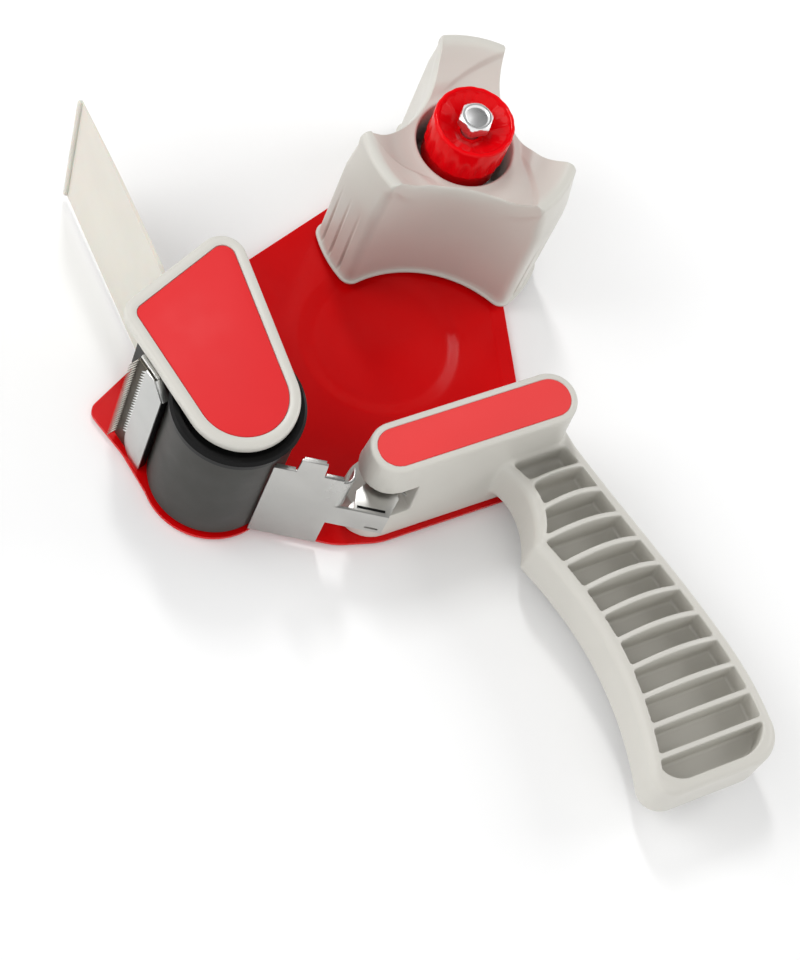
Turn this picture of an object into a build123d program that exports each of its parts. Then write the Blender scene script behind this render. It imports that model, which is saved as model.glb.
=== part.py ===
from build123d import *
import os
from math import atan2, cos, degrees, radians, sin

# Hand-held packing-tape dispenser: a steel side plate carries a three-lobed tape hub with a
# brake knob, a front roller under a plastic cap, a blade with its guard, a wiper flap, a
# sprung guide plate and a pistol-grip handle.  Millimetres.  +Z is the hub axis, away from the
# side plate, +X runs along the handle arm to the rear and +Y is up in use.

os.makedirs("parts", exist_ok=True)

RUN_GAP = 0.05  # radial clearance of every running fit

# ---- side plate ----
SHEET = 1.2
DISH_DEPTH = 1.0
PLATE_UNDER = DISH_DEPTH
PLATE_TOP = PLATE_UNDER + SHEET
DISH_CENTRE = (-32.7, -34.3)
DISH_FLOOR_R = 22.4
DISH_RIM_R = 27.2
FOLD_WIDTH = 5.2
FOLD_DROP = 0.9
FOLD_STOP = 14.0
EDGE_LOW = (-6.4, -99.0)
EDGE_HIGH = (33.0, 31.5)
CORNER_R = 4.0
REAR_CORNER_R = 9.0
RIVET_R = 1.6
RIVET_HEAD_R = 3.0
RIVET_HEAD = 1.0

# ---- tape hub and brake ----
TAPE_WIDTH = 50.0
LOBE_R = 37.6
LOBE_ANGLES = (63, 183, 303)
LOBE_HALF_ANGLE = 17.5
WAIST_R = 18.6
HUB_BASE = 3.9
HUB_TAPER_START = 50.0
HUB_TOP = 63.7
HUB_WALL = 2.2
HUB_FACE = 54.5
WELL_R = 15.6
WELL_FLOOR = 31.0
BUSH_R = 8.0
AXLE_R = 6.0
AXLE_TAIL_R = 4.0
AXLE_FLANGE_R = 13.0
AXLE_FLANGE = 0.7
FRICTION_WASHER = 0.9
BRAKE_WASHER_R = 13.5
BRAKE_WASHER = 1.4
THRUST_WASHER_R = 10.5
THRUST_WASHER = 1.0
THREAD_R = 5.0
THREAD_START = 42.0
THREAD_TOP = 56.2
KNOB_R = 13.1
KNOB_BOTTOM = 46.0
KNOB_SKIRT = 53.2
KNOB_TOP = 67.3
KNOB_RECESS_FLOOR = 61.5
FLUTES = 18
BOLT_HEAD_UNDER = 66.0
BOLT_HEAD_TOP = 70.0
BOLT_FLATS = 10.0
BOLT_R = 3.0
SPRING_R = 8.2
SPRING_WIRE_R = 0.8
SPRING_TURNS = 4.25
SPRING_FOOT = WELL_FLOOR + 1.5
SPRING_LENGTH = KNOB_BOTTOM - THRUST_WASHER - SPRING_FOOT
LOBE_CORNER_R = 3.2
FOOT_FLANGE = 1.2

# ---- front roller ----
ROLLER_AXIS = (-104.6, -61.0)
ROLLER_R = 19.9
ROLLER_RIM_R = 20.7
ROLLER_BASE = 3.4
ROLLER_AXLE_R = 4.0
RIM_HEIGHT = 2.8
ROLLER_TAIL_R = 3.0
ROLLER_TOP = ROLLER_BASE + TAPE_WIDTH
SLEEVE_R = 17.0
CORE_WALL = 2.2
CORE_TUBE_R = 7.0
CORE_WEB_LOW = 26.0
CORE_WEB_HIGH = 29.0

# ---- front cap and the bracket that carries it ----
CAP_UNDER = 54.2
CAP_TOP = 57.8
CAP_CORNERS = ((-104.0, -60.5, 17.6), (-91.2, -16.2, 7.4), (-120.4, -27.0, 6.8))
CAP_BORDER = 3.5
INSERT_DEPTH = 0.7
POST_XY = (-92.0, -18.0)
POST_R = 4.0
POST_TAIL_R = 2.0
POST_BORE_FLOOR = 46.0
CAP_SCREW_R = 1.6
CAP_SOCKET = 1.6
BRACKET_X = -110.6
BRACKET_WEB_Y = -38.6
TAB_CENTRE = (-104.0, -30.0)
TAB_HEIGHT = 1.2
TAB_END_X = -98.0
TAB_LENGTH = 13.6
RIVET_SPOTS = ((-104.0, -34.0), (-104.0, -26.0))

# ---- blade and guard ----
BLADE_FOOT = (-124.75, -52.0)
BLADE_TIP = (-128.0, -35.0)
BLADE_SHEET = 0.6
BLADE_LOW = 3.4
BLADE_HIGH = 53.2
TOOTH_COUNT = 28
TOOTH_LENGTH = 4.4
GUARD_WIDTH = 12.0
GUARD_TOOTH_COUNT = 24
GUARD_CURVE = 13.0
GUARD_CORNER = 10.0

# ---- wiper flap ----
FLAP_PIVOT = (-109.3, -20.0)
FLAP_BEAD_R = 1.85
FLAP_LOW = 2.6
FLAP_HIGH = 54.0
FLAP_REACH_LOW = 45.8
FLAP_REACH_HIGH = 48.4
FLAP_ROOT = 1.3
FLAP_TIP = 0.6
LIP_R = 1.0
HOLDER_HALF = 3.6
HOLDER_LENGTH = 49.4
HOLDER_END_Y = FLAP_PIVOT[1] - HOLDER_HALF
HOLDER_SCREWS = ((0, 16.0), (0, 42.0))
HOLDER_SCREW_R = 1.5
MOUTH_ANGLE = 52
MOUTH_LENGTH = 6.0

# ---- guide plate ----
GUIDE_START = (-100.5, -81.1)
GUIDE_ANGLE = -31.4
GUIDE_SHEET = 0.8
GUIDE_LOW = 3.0
GUIDE_SHOULDER = 47.0
GUIDE_TAB = 54.8
GUIDE_WIDTH = 21.4
STRAP_END = 39.0
STRAP_LOW = 18.0
STRAP_HIGH = 29.5
GUIDE_PIN_XY = (-63.5, -89.5)
GUIDE_PIN_R = 1.5
GUIDE_PIN_LOW = 8.0
GUIDE_PIN_HIGH = 38.0
EAR_START = 28.0
EAR_R = 3.4
TORSION_R = 2.7
TORSION_WIRE_R = 0.45

# ---- handle ----
ARM_CENTRE = (-34.5, -86.4)
ARM_HALF = 26.5
ARM_TOP_R = 8.6
ARM_TOP = 45.0
ARM_DRAFT = 3.2
ARM_INSERT_R = 6.55
RECESS_LOW = 16.0
RECESS_HIGH = 31.0
RECESS_X = -54.5
GRIP_MID = 18.0
GRIP_HALF = 10.0
GRIP_RIM = 3.6
GRIP_WEB = 2.0
RIB_COUNT = 11
RIB_FIRST_Y = -104.2
RIB_PITCH = 9.5
RIB_THICK = 1.7
GRIP_LOW = GRIP_MID - GRIP_HALF
GRIP_HIGH = GRIP_MID + GRIP_HALF
GRIP_END_Y = -211.8
INSERT_RECESS = 0.8
HANDLE_SCREWS = ((-49.5, -86.8), (-15.0, -86.8))
HANDLE_SCREW_R = 2.1
HANDLE_SCREW_DEPTH = 14.0


def save(builder, label):
    builder.part.label = label
    export_step(builder.part, f"parts/{label}.step")


def polar(radius, angle):
    return (radius * cos(radians(angle)), radius * sin(radians(angle)))


def lobed_outline(radius, waist, corner):
    """Face with three lobes and hollow sides between them."""
    with BuildSketch(mode=Mode.PRIVATE) as lobed:
        with BuildLine():
            for angle in LOBE_ANGLES:
                start = polar(radius, angle - LOBE_HALF_ANGLE)
                end = polar(radius, angle + LOBE_HALF_ANGLE)
                ThreePointArc(start, polar(radius, angle), end)
                next_start = polar(radius, angle + 120 - LOBE_HALF_ANGLE)
                ThreePointArc(end, polar(waist, angle + 60), next_start)
        make_face()
        fillet(lobed.vertices(), corner)
    return lobed.sketch


def capsule_hull(corners, inset):
    """Face around three corner circles, each reduced by the inset."""
    with BuildSketch(mode=Mode.PRIVATE) as hull:
        for x, y, radius in corners:
            with Locations((x, y)):
                Circle(radius - inset)
        make_hull()
    return hull.sketch


# ======================================================================= side plate
edge_angle = degrees(atan2(EDGE_HIGH[1] - EDGE_LOW[1], EDGE_HIGH[0] - EDGE_LOW[0]))
edge_length = (Vector(*EDGE_HIGH) - Vector(*EDGE_LOW)).length
crease_low = Vector(*EDGE_LOW) + Vector(-FOLD_WIDTH, 0).rotate(Axis.Z, edge_angle - 90)
crease_high = Vector(*EDGE_HIGH) + Vector(-FOLD_WIDTH, 0).rotate(Axis.Z, edge_angle - 90)

with BuildPart() as side_plate:
    with BuildSketch(Plane.XY.offset(PLATE_UNDER)) as plate_sketch:
        with BuildLine():
            Polyline(
                (crease_low.X, crease_low.Y),
                (-62.0, -99.0),
                (-76.0, -95.2),
                (-98.5, -81.1),
            )
            ThreePointArc((-98.5, -81.1), (-119.4, -75.8), (-125.6, -59.5))
            Polyline(
                (-125.6, -59.5),
                (-127.4, -45.0),
                (-132.0, -28.0),
                (-64.0, 5.3),
                (crease_high.X, crease_high.Y),
                (crease_low.X, crease_low.Y),
            )
        make_face()
        fillet(plate_sketch.vertices().sort_by(Axis.X)[0], CORNER_R)
        fillet(plate_sketch.vertices().sort_by(Axis.Y)[-1], REAR_CORNER_R)
        with Locations(DISH_CENTRE):
            Circle(DISH_RIM_R - 0.2, mode=Mode.SUBTRACT)
    extrude(amount=SHEET)
    # stamped dish: a flat floor one sheet lower, joined by a sloping ring
    with BuildSketch(Plane(origin=(*DISH_CENTRE, 0), x_dir=(1, 0, 0), z_dir=(0, -1, 0))):
        Polygon(
            (0, 0),
            (DISH_FLOOR_R, 0),
            (DISH_RIM_R, PLATE_UNDER),
            (DISH_RIM_R, PLATE_TOP),
            (DISH_FLOOR_R, SHEET),
            (0, SHEET),
            align=None,
        )
    revolve(axis=Axis((*DISH_CENTRE, 0), (0, 0, 1)))
    # folded strip along the rear edge
    fold_plane = Plane(
        origin=(crease_low.X, crease_low.Y, PLATE_UNDER),
        x_dir=Vector(1, 0).rotate(Axis.Z, edge_angle - 90),
        z_dir=Vector(-1, 0).rotate(Axis.Z, edge_angle),
    )
    with BuildSketch(fold_plane):
        Polygon(
            (-0.2, 0),
            (0, 0),
            (FOLD_WIDTH, -FOLD_DROP),
            (FOLD_WIDTH, SHEET - FOLD_DROP),
            (0, SHEET),
            (-0.2, SHEET),
            align=None,
        )
    extrude(amount=FOLD_STOP - edge_length)
    # holes for the axles, the handle screws and the bracket rivets
    with Locations((0, 0, PLATE_TOP)):
        Hole(radius=AXLE_TAIL_R)
    with Locations((*ROLLER_AXIS, PLATE_TOP)):
        Hole(radius=ROLLER_TAIL_R)
    with Locations((*POST_XY, PLATE_TOP)):
        Hole(radius=POST_TAIL_R)
    with Locations(*[(x, y, PLATE_TOP) for x, y in HANDLE_SCREWS]):
        Hole(radius=HANDLE_SCREW_R)
    with Locations(*[(x, y, PLATE_TOP) for x, y in RIVET_SPOTS]):
        Hole(radius=RIVET_R)
save(side_plate, "side_plate")


# ======================================================================= tape hub
with BuildPart() as hub_axle:
    with BuildSketch(Plane.XZ):
        Polygon(
            (0, PLATE_UNDER),
            (AXLE_TAIL_R, PLATE_UNDER),
            (AXLE_TAIL_R, PLATE_TOP),
            (AXLE_FLANGE_R, PLATE_TOP),
            (AXLE_FLANGE_R, PLATE_TOP + AXLE_FLANGE),
            (AXLE_R, PLATE_TOP + AXLE_FLANGE),
            (AXLE_R, THREAD_START),
            (THREAD_R, THREAD_START),
            (THREAD_R, THREAD_TOP),
            (BOLT_R, THREAD_TOP),
            (BOLT_R, THREAD_START),
            (0, THREAD_START),
            align=None,
        )
    revolve(axis=Axis.Z)
save(hub_axle, "hub_axle")

with BuildPart() as friction_washer:
    with BuildSketch(Plane.XY.offset(PLATE_TOP + AXLE_FLANGE)):
        Circle(AXLE_FLANGE_R)
        Circle(AXLE_R, mode=Mode.SUBTRACT)
    extrude(amount=FRICTION_WASHER)
save(friction_washer, "friction_washer")

with BuildPart() as hub:
    # drafted shell with a lead-in taper at the top
    with BuildSketch(Plane.XY.offset(HUB_BASE)):
        add(lobed_outline(LOBE_R, WAIST_R, LOBE_CORNER_R))
    extrude(amount=HUB_TAPER_START - HUB_BASE)
    with BuildSketch(Plane.XY.offset(HUB_TAPER_START)):
        add(lobed_outline(LOBE_R, WAIST_R, LOBE_CORNER_R))
    extrude(amount=HUB_TOP - HUB_TAPER_START, taper=9.5)
    # thin foot flange that follows the outline
    with BuildSketch(Plane.XY.offset(HUB_BASE)):
        add(lobed_outline(LOBE_R + FOOT_FLANGE, WAIST_R + FOOT_FLANGE, LOBE_CORNER_R + 1.0))
    extrude(amount=FOOT_FLANGE)
    # dished top between the raised lobe ends
    with BuildSketch(Plane.XZ):
        with BuildLine():
            Polyline((0, HUB_TOP + 5), (0, HUB_FACE), (WELL_R + 3, HUB_FACE), (24.5, HUB_FACE + 1.6))
            Spline(
                (24.5, HUB_FACE + 1.6),
                (30.5, HUB_FACE + 5.2),
                (33.2, HUB_TOP),
                tangents=((1, 0.15), (0.35, 1)),
            )
            Polyline((33.2, HUB_TOP), (33.2, HUB_TOP + 5), (0, HUB_TOP + 5))
        make_face()
    revolve(axis=Axis.Z, mode=Mode.SUBTRACT)
    # hollow underside around the bearing tube and the spring well
    with BuildSketch(Plane.XY.offset(HUB_BASE)):
        add(lobed_outline(LOBE_R - HUB_WALL, WAIST_R - HUB_WALL + 1.0, 1.5))
        Circle(WELL_R + HUB_WALL, mode=Mode.SUBTRACT)
    extrude(amount=HUB_FACE - HUB_WALL - HUB_BASE, mode=Mode.SUBTRACT)
    with BuildSketch(Plane.XY.offset(HUB_BASE)):
        Circle(WELL_R)
        Circle(BUSH_R + HUB_WALL, mode=Mode.SUBTRACT)
    extrude(amount=WELL_FLOOR - 3.0 - HUB_BASE, mode=Mode.SUBTRACT)
    with BuildSketch(Plane.XY.offset(WELL_FLOOR)):
        Circle(WELL_R)
    extrude(amount=HUB_TOP, mode=Mode.SUBTRACT)
    with Locations((0, 0, WELL_FLOOR)):
        Hole(radius=BUSH_R)
    # three grip grooves in each lobe, running out towards the top
    for angle in LOBE_ANGLES:
        for step in (-8.5, 0, 8.5):
            with BuildSketch(Plane.XZ.rotated((0, 0, angle + step))):
                Polygon(
                    (LOBE_R - 1.2, HUB_BASE + 2.2),
                    (LOBE_R + 1.0, HUB_BASE + 2.2),
                    (LOBE_R + 1.0, 42.0),
                    (LOBE_R, 40.0),
                    align=None,
                )
            extrude(amount=0.7, both=True, mode=Mode.SUBTRACT)
save(hub, "hub")

with BuildPart() as hub_bush:
    with BuildSketch(Plane.XY.offset(HUB_BASE)):
        Circle(BUSH_R)
        Circle(AXLE_R + RUN_GAP, mode=Mode.SUBTRACT)
    extrude(amount=WELL_FLOOR - HUB_BASE)
save(hub_bush, "hub_bush")

with BuildPart() as brake_washer:
    with BuildSketch(Plane.XY.offset(WELL_FLOOR + 0.1)):
        Circle(BRAKE_WASHER_R)
        Circle(AXLE_R, mode=Mode.SUBTRACT)
    extrude(amount=BRAKE_WASHER)
save(brake_washer, "brake_washer")

with BuildPart() as brake_spring:
    coil_height = SPRING_LENGTH - 2 * SPRING_WIRE_R - 0.1
    with BuildLine() as coil:
        Helix(
            pitch=coil_height / SPRING_TURNS,
            height=coil_height,
            radius=SPRING_R,
            center=(0, 0, SPRING_FOOT + SPRING_WIRE_R + 0.05),
        )
    with BuildSketch(Plane(origin=coil.line @ 0, z_dir=coil.line % 0)):
        Circle(SPRING_WIRE_R)
    sweep(path=coil.line, is_frenet=True)
save(brake_spring, "brake_spring")

with BuildPart() as thrust_washer:
    with BuildSketch(Plane.XY.offset(KNOB_BOTTOM - THRUST_WASHER)):
        Circle(THRUST_WASHER_R)
        Circle(THREAD_R + RUN_GAP, mode=Mode.SUBTRACT)
    extrude(amount=THRUST_WASHER)
save(thrust_washer, "thrust_washer")

with BuildPart() as tension_knob:
    with BuildSketch(Plane.XZ):
        Polygon(
            (THREAD_R + RUN_GAP, KNOB_BOTTOM),
            (9.5, KNOB_BOTTOM),
            (9.5, KNOB_SKIRT),
            (KNOB_R, KNOB_SKIRT),
            (KNOB_R, KNOB_TOP - 0.8),
            (KNOB_R - 0.8, KNOB_TOP),
            (KNOB_R - 2.6, KNOB_TOP),
            (KNOB_R - 4.6, KNOB_RECESS_FLOOR),
            (BOLT_R + 0.4, KNOB_RECESS_FLOOR),
            (BOLT_R + 0.4, THREAD_TOP + 2.6),
            (THREAD_R + RUN_GAP, THREAD_TOP + 2.6),
            align=None,
        )
    revolve(axis=Axis.Z)
    with BuildSketch(Plane.XY.offset(KNOB_SKIRT)):
        with PolarLocations(KNOB_R + 0.55, FLUTES):
            Circle(1.25)
    extrude(amount=KNOB_TOP - KNOB_SKIRT, mode=Mode.SUBTRACT)
save(tension_knob, "tension_knob")

with BuildPart() as retaining_bolt:
    with BuildSketch(Plane.XY.offset(BOLT_HEAD_UNDER)):
        RegularPolygon(radius=BOLT_FLATS / 2, side_count=6, major_radius=False)
    extrude(amount=BOLT_HEAD_TOP - BOLT_HEAD_UNDER)
    with BuildSketch(Plane.XZ):
        Polygon(
            (BOLT_FLATS / 2 - 0.2, BOLT_HEAD_TOP),
            (BOLT_FLATS / 2 + 2.0, BOLT_HEAD_TOP),
            (BOLT_FLATS / 2 + 2.0, BOLT_HEAD_TOP - 1.4),
            align=None,
        )
    revolve(axis=Axis.Z, mode=Mode.SUBTRACT)
    with BuildSketch(Plane.XY.offset(THREAD_START)):
        Circle(BOLT_R)
    extrude(amount=BOLT_HEAD_UNDER - THREAD_START)
save(retaining_bolt, "retaining_bolt")


# ======================================================================= front roller
with BuildPart() as roller_axle:
    with BuildSketch(Plane.XY.offset(PLATE_UNDER)):
        with Locations(ROLLER_AXIS):
            Circle(ROLLER_TAIL_R)
    extrude(amount=SHEET)
    with BuildSketch(Plane.XY.offset(PLATE_TOP)):
        with Locations(ROLLER_AXIS):
            Circle(ROLLER_AXLE_R)
    extrude(amount=CAP_UNDER + CAP_SOCKET - PLATE_TOP)
save(roller_axle, "roller_axle")

roller_plane = Plane(origin=(*ROLLER_AXIS, 0), x_dir=(1, 0, 0), z_dir=(0, -1, 0))
with BuildPart() as roller_core:
    with BuildSketch(roller_plane):
        Polygon(
            (ROLLER_AXLE_R + RUN_GAP, ROLLER_BASE),
            (CORE_TUBE_R, ROLLER_BASE),
            (CORE_TUBE_R, CORE_WEB_LOW),
            (SLEEVE_R - CORE_WALL, CORE_WEB_LOW),
            (SLEEVE_R - CORE_WALL, ROLLER_BASE),
            (SLEEVE_R, ROLLER_BASE),
            (SLEEVE_R, ROLLER_TOP - RIM_HEIGHT),
            (SLEEVE_R - CORE_WALL, ROLLER_TOP - RIM_HEIGHT),
            (SLEEVE_R - CORE_WALL, CORE_WEB_HIGH),
            (CORE_TUBE_R, CORE_WEB_HIGH),
            (CORE_TUBE_R, ROLLER_TOP),
            (ROLLER_AXLE_R + RUN_GAP, ROLLER_TOP),
            align=None,
        )
    revolve(axis=Axis((*ROLLER_AXIS, 0), (0, 0, 1)))
save(roller_core, "roller_core")

with BuildPart() as roller_sleeve:
    with BuildSketch(Plane.XY.offset(ROLLER_BASE)):
        with Locations(ROLLER_AXIS):
            Circle(ROLLER_R)
            Circle(SLEEVE_R, mode=Mode.SUBTRACT)
    extrude(amount=TAPE_WIDTH - RIM_HEIGHT)
    foot_edges = roller_sleeve.edges().filter_by(GeomType.CIRCLE).group_by(Axis.Z)[0]
    fillet(foot_edges.sort_by(SortBy.LENGTH)[-1], 0.8)
save(roller_sleeve, "roller_sleeve")

with BuildPart() as roller_rim:
    with BuildSketch(roller_plane):
        Polygon(
            (CORE_TUBE_R, ROLLER_TOP - RIM_HEIGHT),
            (ROLLER_RIM_R, ROLLER_TOP - RIM_HEIGHT),
            (ROLLER_RIM_R, ROLLER_TOP - 0.9),
            (ROLLER_RIM_R - 0.9, ROLLER_TOP),
            (ROLLER_RIM_R - 2.6, ROLLER_TOP),
            (ROLLER_RIM_R - 2.6, ROLLER_TOP - 1.2),
            (CORE_TUBE_R, ROLLER_TOP - 1.2),
            align=None,
        )
    revolve(axis=Axis((*ROLLER_AXIS, 0), (0, 0, 1)))
save(roller_rim, "roller_rim")

with BuildPart() as roller_clip:
    with BuildSketch(Plane.XY.offset(ROLLER_TOP + 0.1)):
        with Locations(ROLLER_AXIS):
            Circle(8.0)
            Circle(ROLLER_AXLE_R, mode=Mode.SUBTRACT)
    extrude(amount=0.6)
save(roller_clip, "roller_clip")


# ======================================================================= front cap
with BuildPart() as front_cap:
    with BuildSketch(Plane.XY.offset(CAP_UNDER)):
        add(capsule_hull(CAP_CORNERS, 0))
    extrude(amount=CAP_TOP - CAP_UNDER)
    chamfer(front_cap.faces().sort_by(Axis.Z)[-1].outer_wire().edges(), 0.8)
    with BuildSketch(Plane.XY.offset(CAP_TOP - INSERT_DEPTH)):
        add(capsule_hull(CAP_CORNERS, CAP_BORDER))
    extrude(amount=INSERT_DEPTH, mode=Mode.SUBTRACT)
    with BuildSketch(Plane.XY.offset(CAP_UNDER)):
        with Locations(ROLLER_AXIS):
            Circle(ROLLER_AXLE_R)
        with Locations(POST_XY):
            Circle(POST_R)
    extrude(amount=CAP_SOCKET, mode=Mode.SUBTRACT)
    with Locations((*TAB_CENTRE, CAP_TOP - INSERT_DEPTH), (*POST_XY, CAP_TOP - INSERT_DEPTH)):
        Hole(radius=CAP_SCREW_R)
save(front_cap, "front_cap")

with BuildPart() as front_cap_insert:
    with BuildSketch(Plane.XY.offset(CAP_TOP - INSERT_DEPTH)):
        add(capsule_hull(CAP_CORNERS, CAP_BORDER + 0.15))
    extrude(amount=INSERT_DEPTH - 0.1)
save(front_cap_insert, "front_cap_insert")

with BuildPart() as cap_screws:
    for (x, y), foot in ((TAB_CENTRE, 50.0), (POST_XY, POST_BORE_FLOOR)):
        with BuildSketch(Plane.XY.offset(foot)):
            with Locations((x, y)):
                Circle(CAP_SCREW_R)
        extrude(amount=CAP_TOP - INSERT_DEPTH - foot)
save(cap_screws, "cap_screws")

with BuildPart() as front_post:
    with BuildSketch(Plane.XY.offset(PLATE_UNDER)):
        with Locations(POST_XY):
            Circle(POST_TAIL_R)
    extrude(amount=SHEET)
    with BuildSketch(Plane.XY.offset(PLATE_TOP)):
        with Locations(POST_XY):
            Circle(POST_R)
    extrude(amount=CAP_UNDER + CAP_SOCKET - PLATE_TOP)
    with Locations((*POST_XY, CAP_UNDER + CAP_SOCKET)):
        Hole(radius=CAP_SCREW_R, depth=CAP_UNDER + CAP_SOCKET - POST_BORE_FLOOR)
save(front_post, "front_post")


# ======================================================================= blade and its bracket
holder_screw_plane = Plane(
    origin=(BRACKET_X + 2.0, HOLDER_END_Y - 6.0, 0),
    x_dir=(0, 1, 0),
    z_dir=(1, 0, 0),
)
blade_run = (Vector(*BLADE_TIP) - Vector(*BLADE_FOOT)).length
blade_dir = (Vector(*BLADE_TIP) - Vector(*BLADE_FOOT)).normalized()
blade_face = Plane(origin=(*BLADE_FOOT, 0), x_dir=blade_dir, z_dir=blade_dir.rotate(Axis.Z, -90))
tooth_root = blade_run - TOOTH_LENGTH

with BuildPart() as front_bracket:
    # folded steel: wall beside the cap, web behind the roller, wall behind the blade
    wall_end = blade_face.from_local_coords((5.6, 0, 0)) + blade_face.z_dir * 1.2
    wall_start = blade_face.from_local_coords((13.0, 0, 0)) + blade_face.z_dir * 1.2
    with BuildSketch(Plane.XY.offset(PLATE_TOP)):
        with BuildLine() as fold_line:
            Polyline(
                (BRACKET_X, HOLDER_END_Y - 0.6),
                (BRACKET_X, BRACKET_WEB_Y),
                (wall_start.X, BRACKET_WEB_Y),
                (wall_end.X, wall_end.Y),
            )
            offset(amount=0.6, side=Side.BOTH)
        make_face()
    extrude(amount=CAP_UNDER - PLATE_TOP)
    # foot tab riveted to the side plate and top tab under the cap
    for level in (PLATE_TOP, CAP_UNDER - TAB_HEIGHT):
        with BuildSketch(Plane.XY.offset(level)):
            with Locations(((BRACKET_X + TAB_END_X) / 2, TAB_CENTRE[1])):
                Rectangle(TAB_END_X - BRACKET_X, TAB_LENGTH)
        extrude(amount=TAB_HEIGHT)
    with Locations(*[(x, y, PLATE_TOP + TAB_HEIGHT) for x, y in RIVET_SPOTS]):
        Hole(radius=RIVET_R, depth=TAB_HEIGHT)
    with Locations((*TAB_CENTRE, CAP_UNDER)):
        Hole(radius=CAP_SCREW_R, depth=TAB_HEIGHT)
    with BuildSketch(holder_screw_plane):
        with Locations(*HOLDER_SCREWS):
            Circle(HOLDER_SCREW_R)
    extrude(amount=-2.6, mode=Mode.SUBTRACT)
save(front_bracket, "front_bracket")

with BuildPart() as bracket_rivets:
    with Locations(*[(x, y, PLATE_UNDER) for x, y in RIVET_SPOTS]):
        Cylinder(RIVET_R, SHEET + TAB_HEIGHT, align=(Align.CENTER, Align.CENTER, Align.MIN))
    with Locations(*[(x, y, PLATE_TOP + TAB_HEIGHT) for x, y in RIVET_SPOTS]):
        Cylinder(RIVET_HEAD_R, RIVET_HEAD, align=(Align.CENTER, Align.CENTER, Align.MIN))
save(bracket_rivets, "bracket_rivets")

with BuildPart() as blade:
    pitch = (BLADE_HIGH - BLADE_LOW) / TOOTH_COUNT
    edge_points = []
    for tooth in range(TOOTH_COUNT):
        edge_points.append((tooth_root, BLADE_LOW + tooth * pitch))
        edge_points.append((blade_run, BLADE_LOW + (tooth + 0.5) * pitch))
    with BuildSketch(blade_face):
        with BuildLine():
            Polyline(
                (4.8, BLADE_HIGH),
                (4.8, BLADE_LOW),
                *edge_points,
                (tooth_root, BLADE_HIGH),
                close=True,
            )
        make_face()
    extrude(amount=BLADE_SHEET)
save(blade, "blade")

with BuildPart() as blade_guard:
    pitch = (BLADE_HIGH - BLADE_LOW - GUARD_CURVE) / GUARD_TOOTH_COUNT
    edge_points = []
    for tooth in range(GUARD_TOOTH_COUNT):
        edge_points.append((GUARD_WIDTH, BLADE_LOW + GUARD_CURVE + tooth * pitch))
        edge_points.append((GUARD_WIDTH + 0.8, BLADE_LOW + GUARD_CURVE + (tooth + 0.5) * pitch))
    with BuildSketch(blade_face):
        with BuildLine():
            Polyline(
                (GUARD_WIDTH - GUARD_CORNER, BLADE_LOW - 0.8),
                (0, BLADE_LOW - 0.8),
                (0, 37.0),
                (3.4, 37.0),
                (3.4, BLADE_HIGH),
                (GUARD_WIDTH, BLADE_HIGH),
                *reversed(edge_points),
            )
            EllipticalCenterArc(
                (GUARD_WIDTH - GUARD_CORNER, BLADE_LOW + GUARD_CURVE),
                GUARD_CORNER,
                GUARD_CURVE + 0.8,
                start_angle=270,
                arc_size=90,
            )
        make_face()
    extrude(amount=-BLADE_SHEET)
    # stop ear folded inwards beside the roller
    with BuildSketch(blade_face):
        with Locations((3.7, 45.0)):
            Rectangle(0.6, 14.0)
    extrude(amount=3.0)
save(blade_guard, "blade_guard")


# ======================================================================= wiper flap
with BuildPart() as flap_holder:
    with BuildSketch(Plane.XY.offset(ROLLER_BASE)):
        with Locations(FLAP_PIVOT):
            Rectangle(2 * HOLDER_HALF, 2 * HOLDER_HALF)
            Circle(FLAP_BEAD_R + RUN_GAP, mode=Mode.SUBTRACT)
            mouth_x = MOUTH_LENGTH * sin(radians(MOUTH_ANGLE))
            mouth_y = MOUTH_LENGTH * cos(radians(MOUTH_ANGLE))
            Polygon(
                (0, 0),
                (mouth_x, mouth_y),
                (mouth_x, MOUTH_LENGTH),
                (-mouth_x, MOUTH_LENGTH),
                (-mouth_x, mouth_y),
                align=None,
                mode=Mode.SUBTRACT,
            )
        with Locations((BRACKET_X + 1.3, HOLDER_END_Y - 6.2)):
            Rectangle(1.4, 12.8)
    extrude(amount=HOLDER_LENGTH)
    with BuildSketch(holder_screw_plane):
        with Locations(*HOLDER_SCREWS):
            Circle(HOLDER_SCREW_R)
    extrude(amount=-1.4, mode=Mode.SUBTRACT)
save(flap_holder, "flap_holder")

with BuildPart() as holder_screws:
    with BuildSketch(holder_screw_plane):
        with Locations(*HOLDER_SCREWS):
            Circle(HOLDER_SCREW_R)
    extrude(amount=-2.6)
    with BuildSketch(holder_screw_plane):
        with Locations(*HOLDER_SCREWS):
            Circle(2.8)
    extrude(amount=1.6)
save(holder_screws, "holder_screws")

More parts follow.
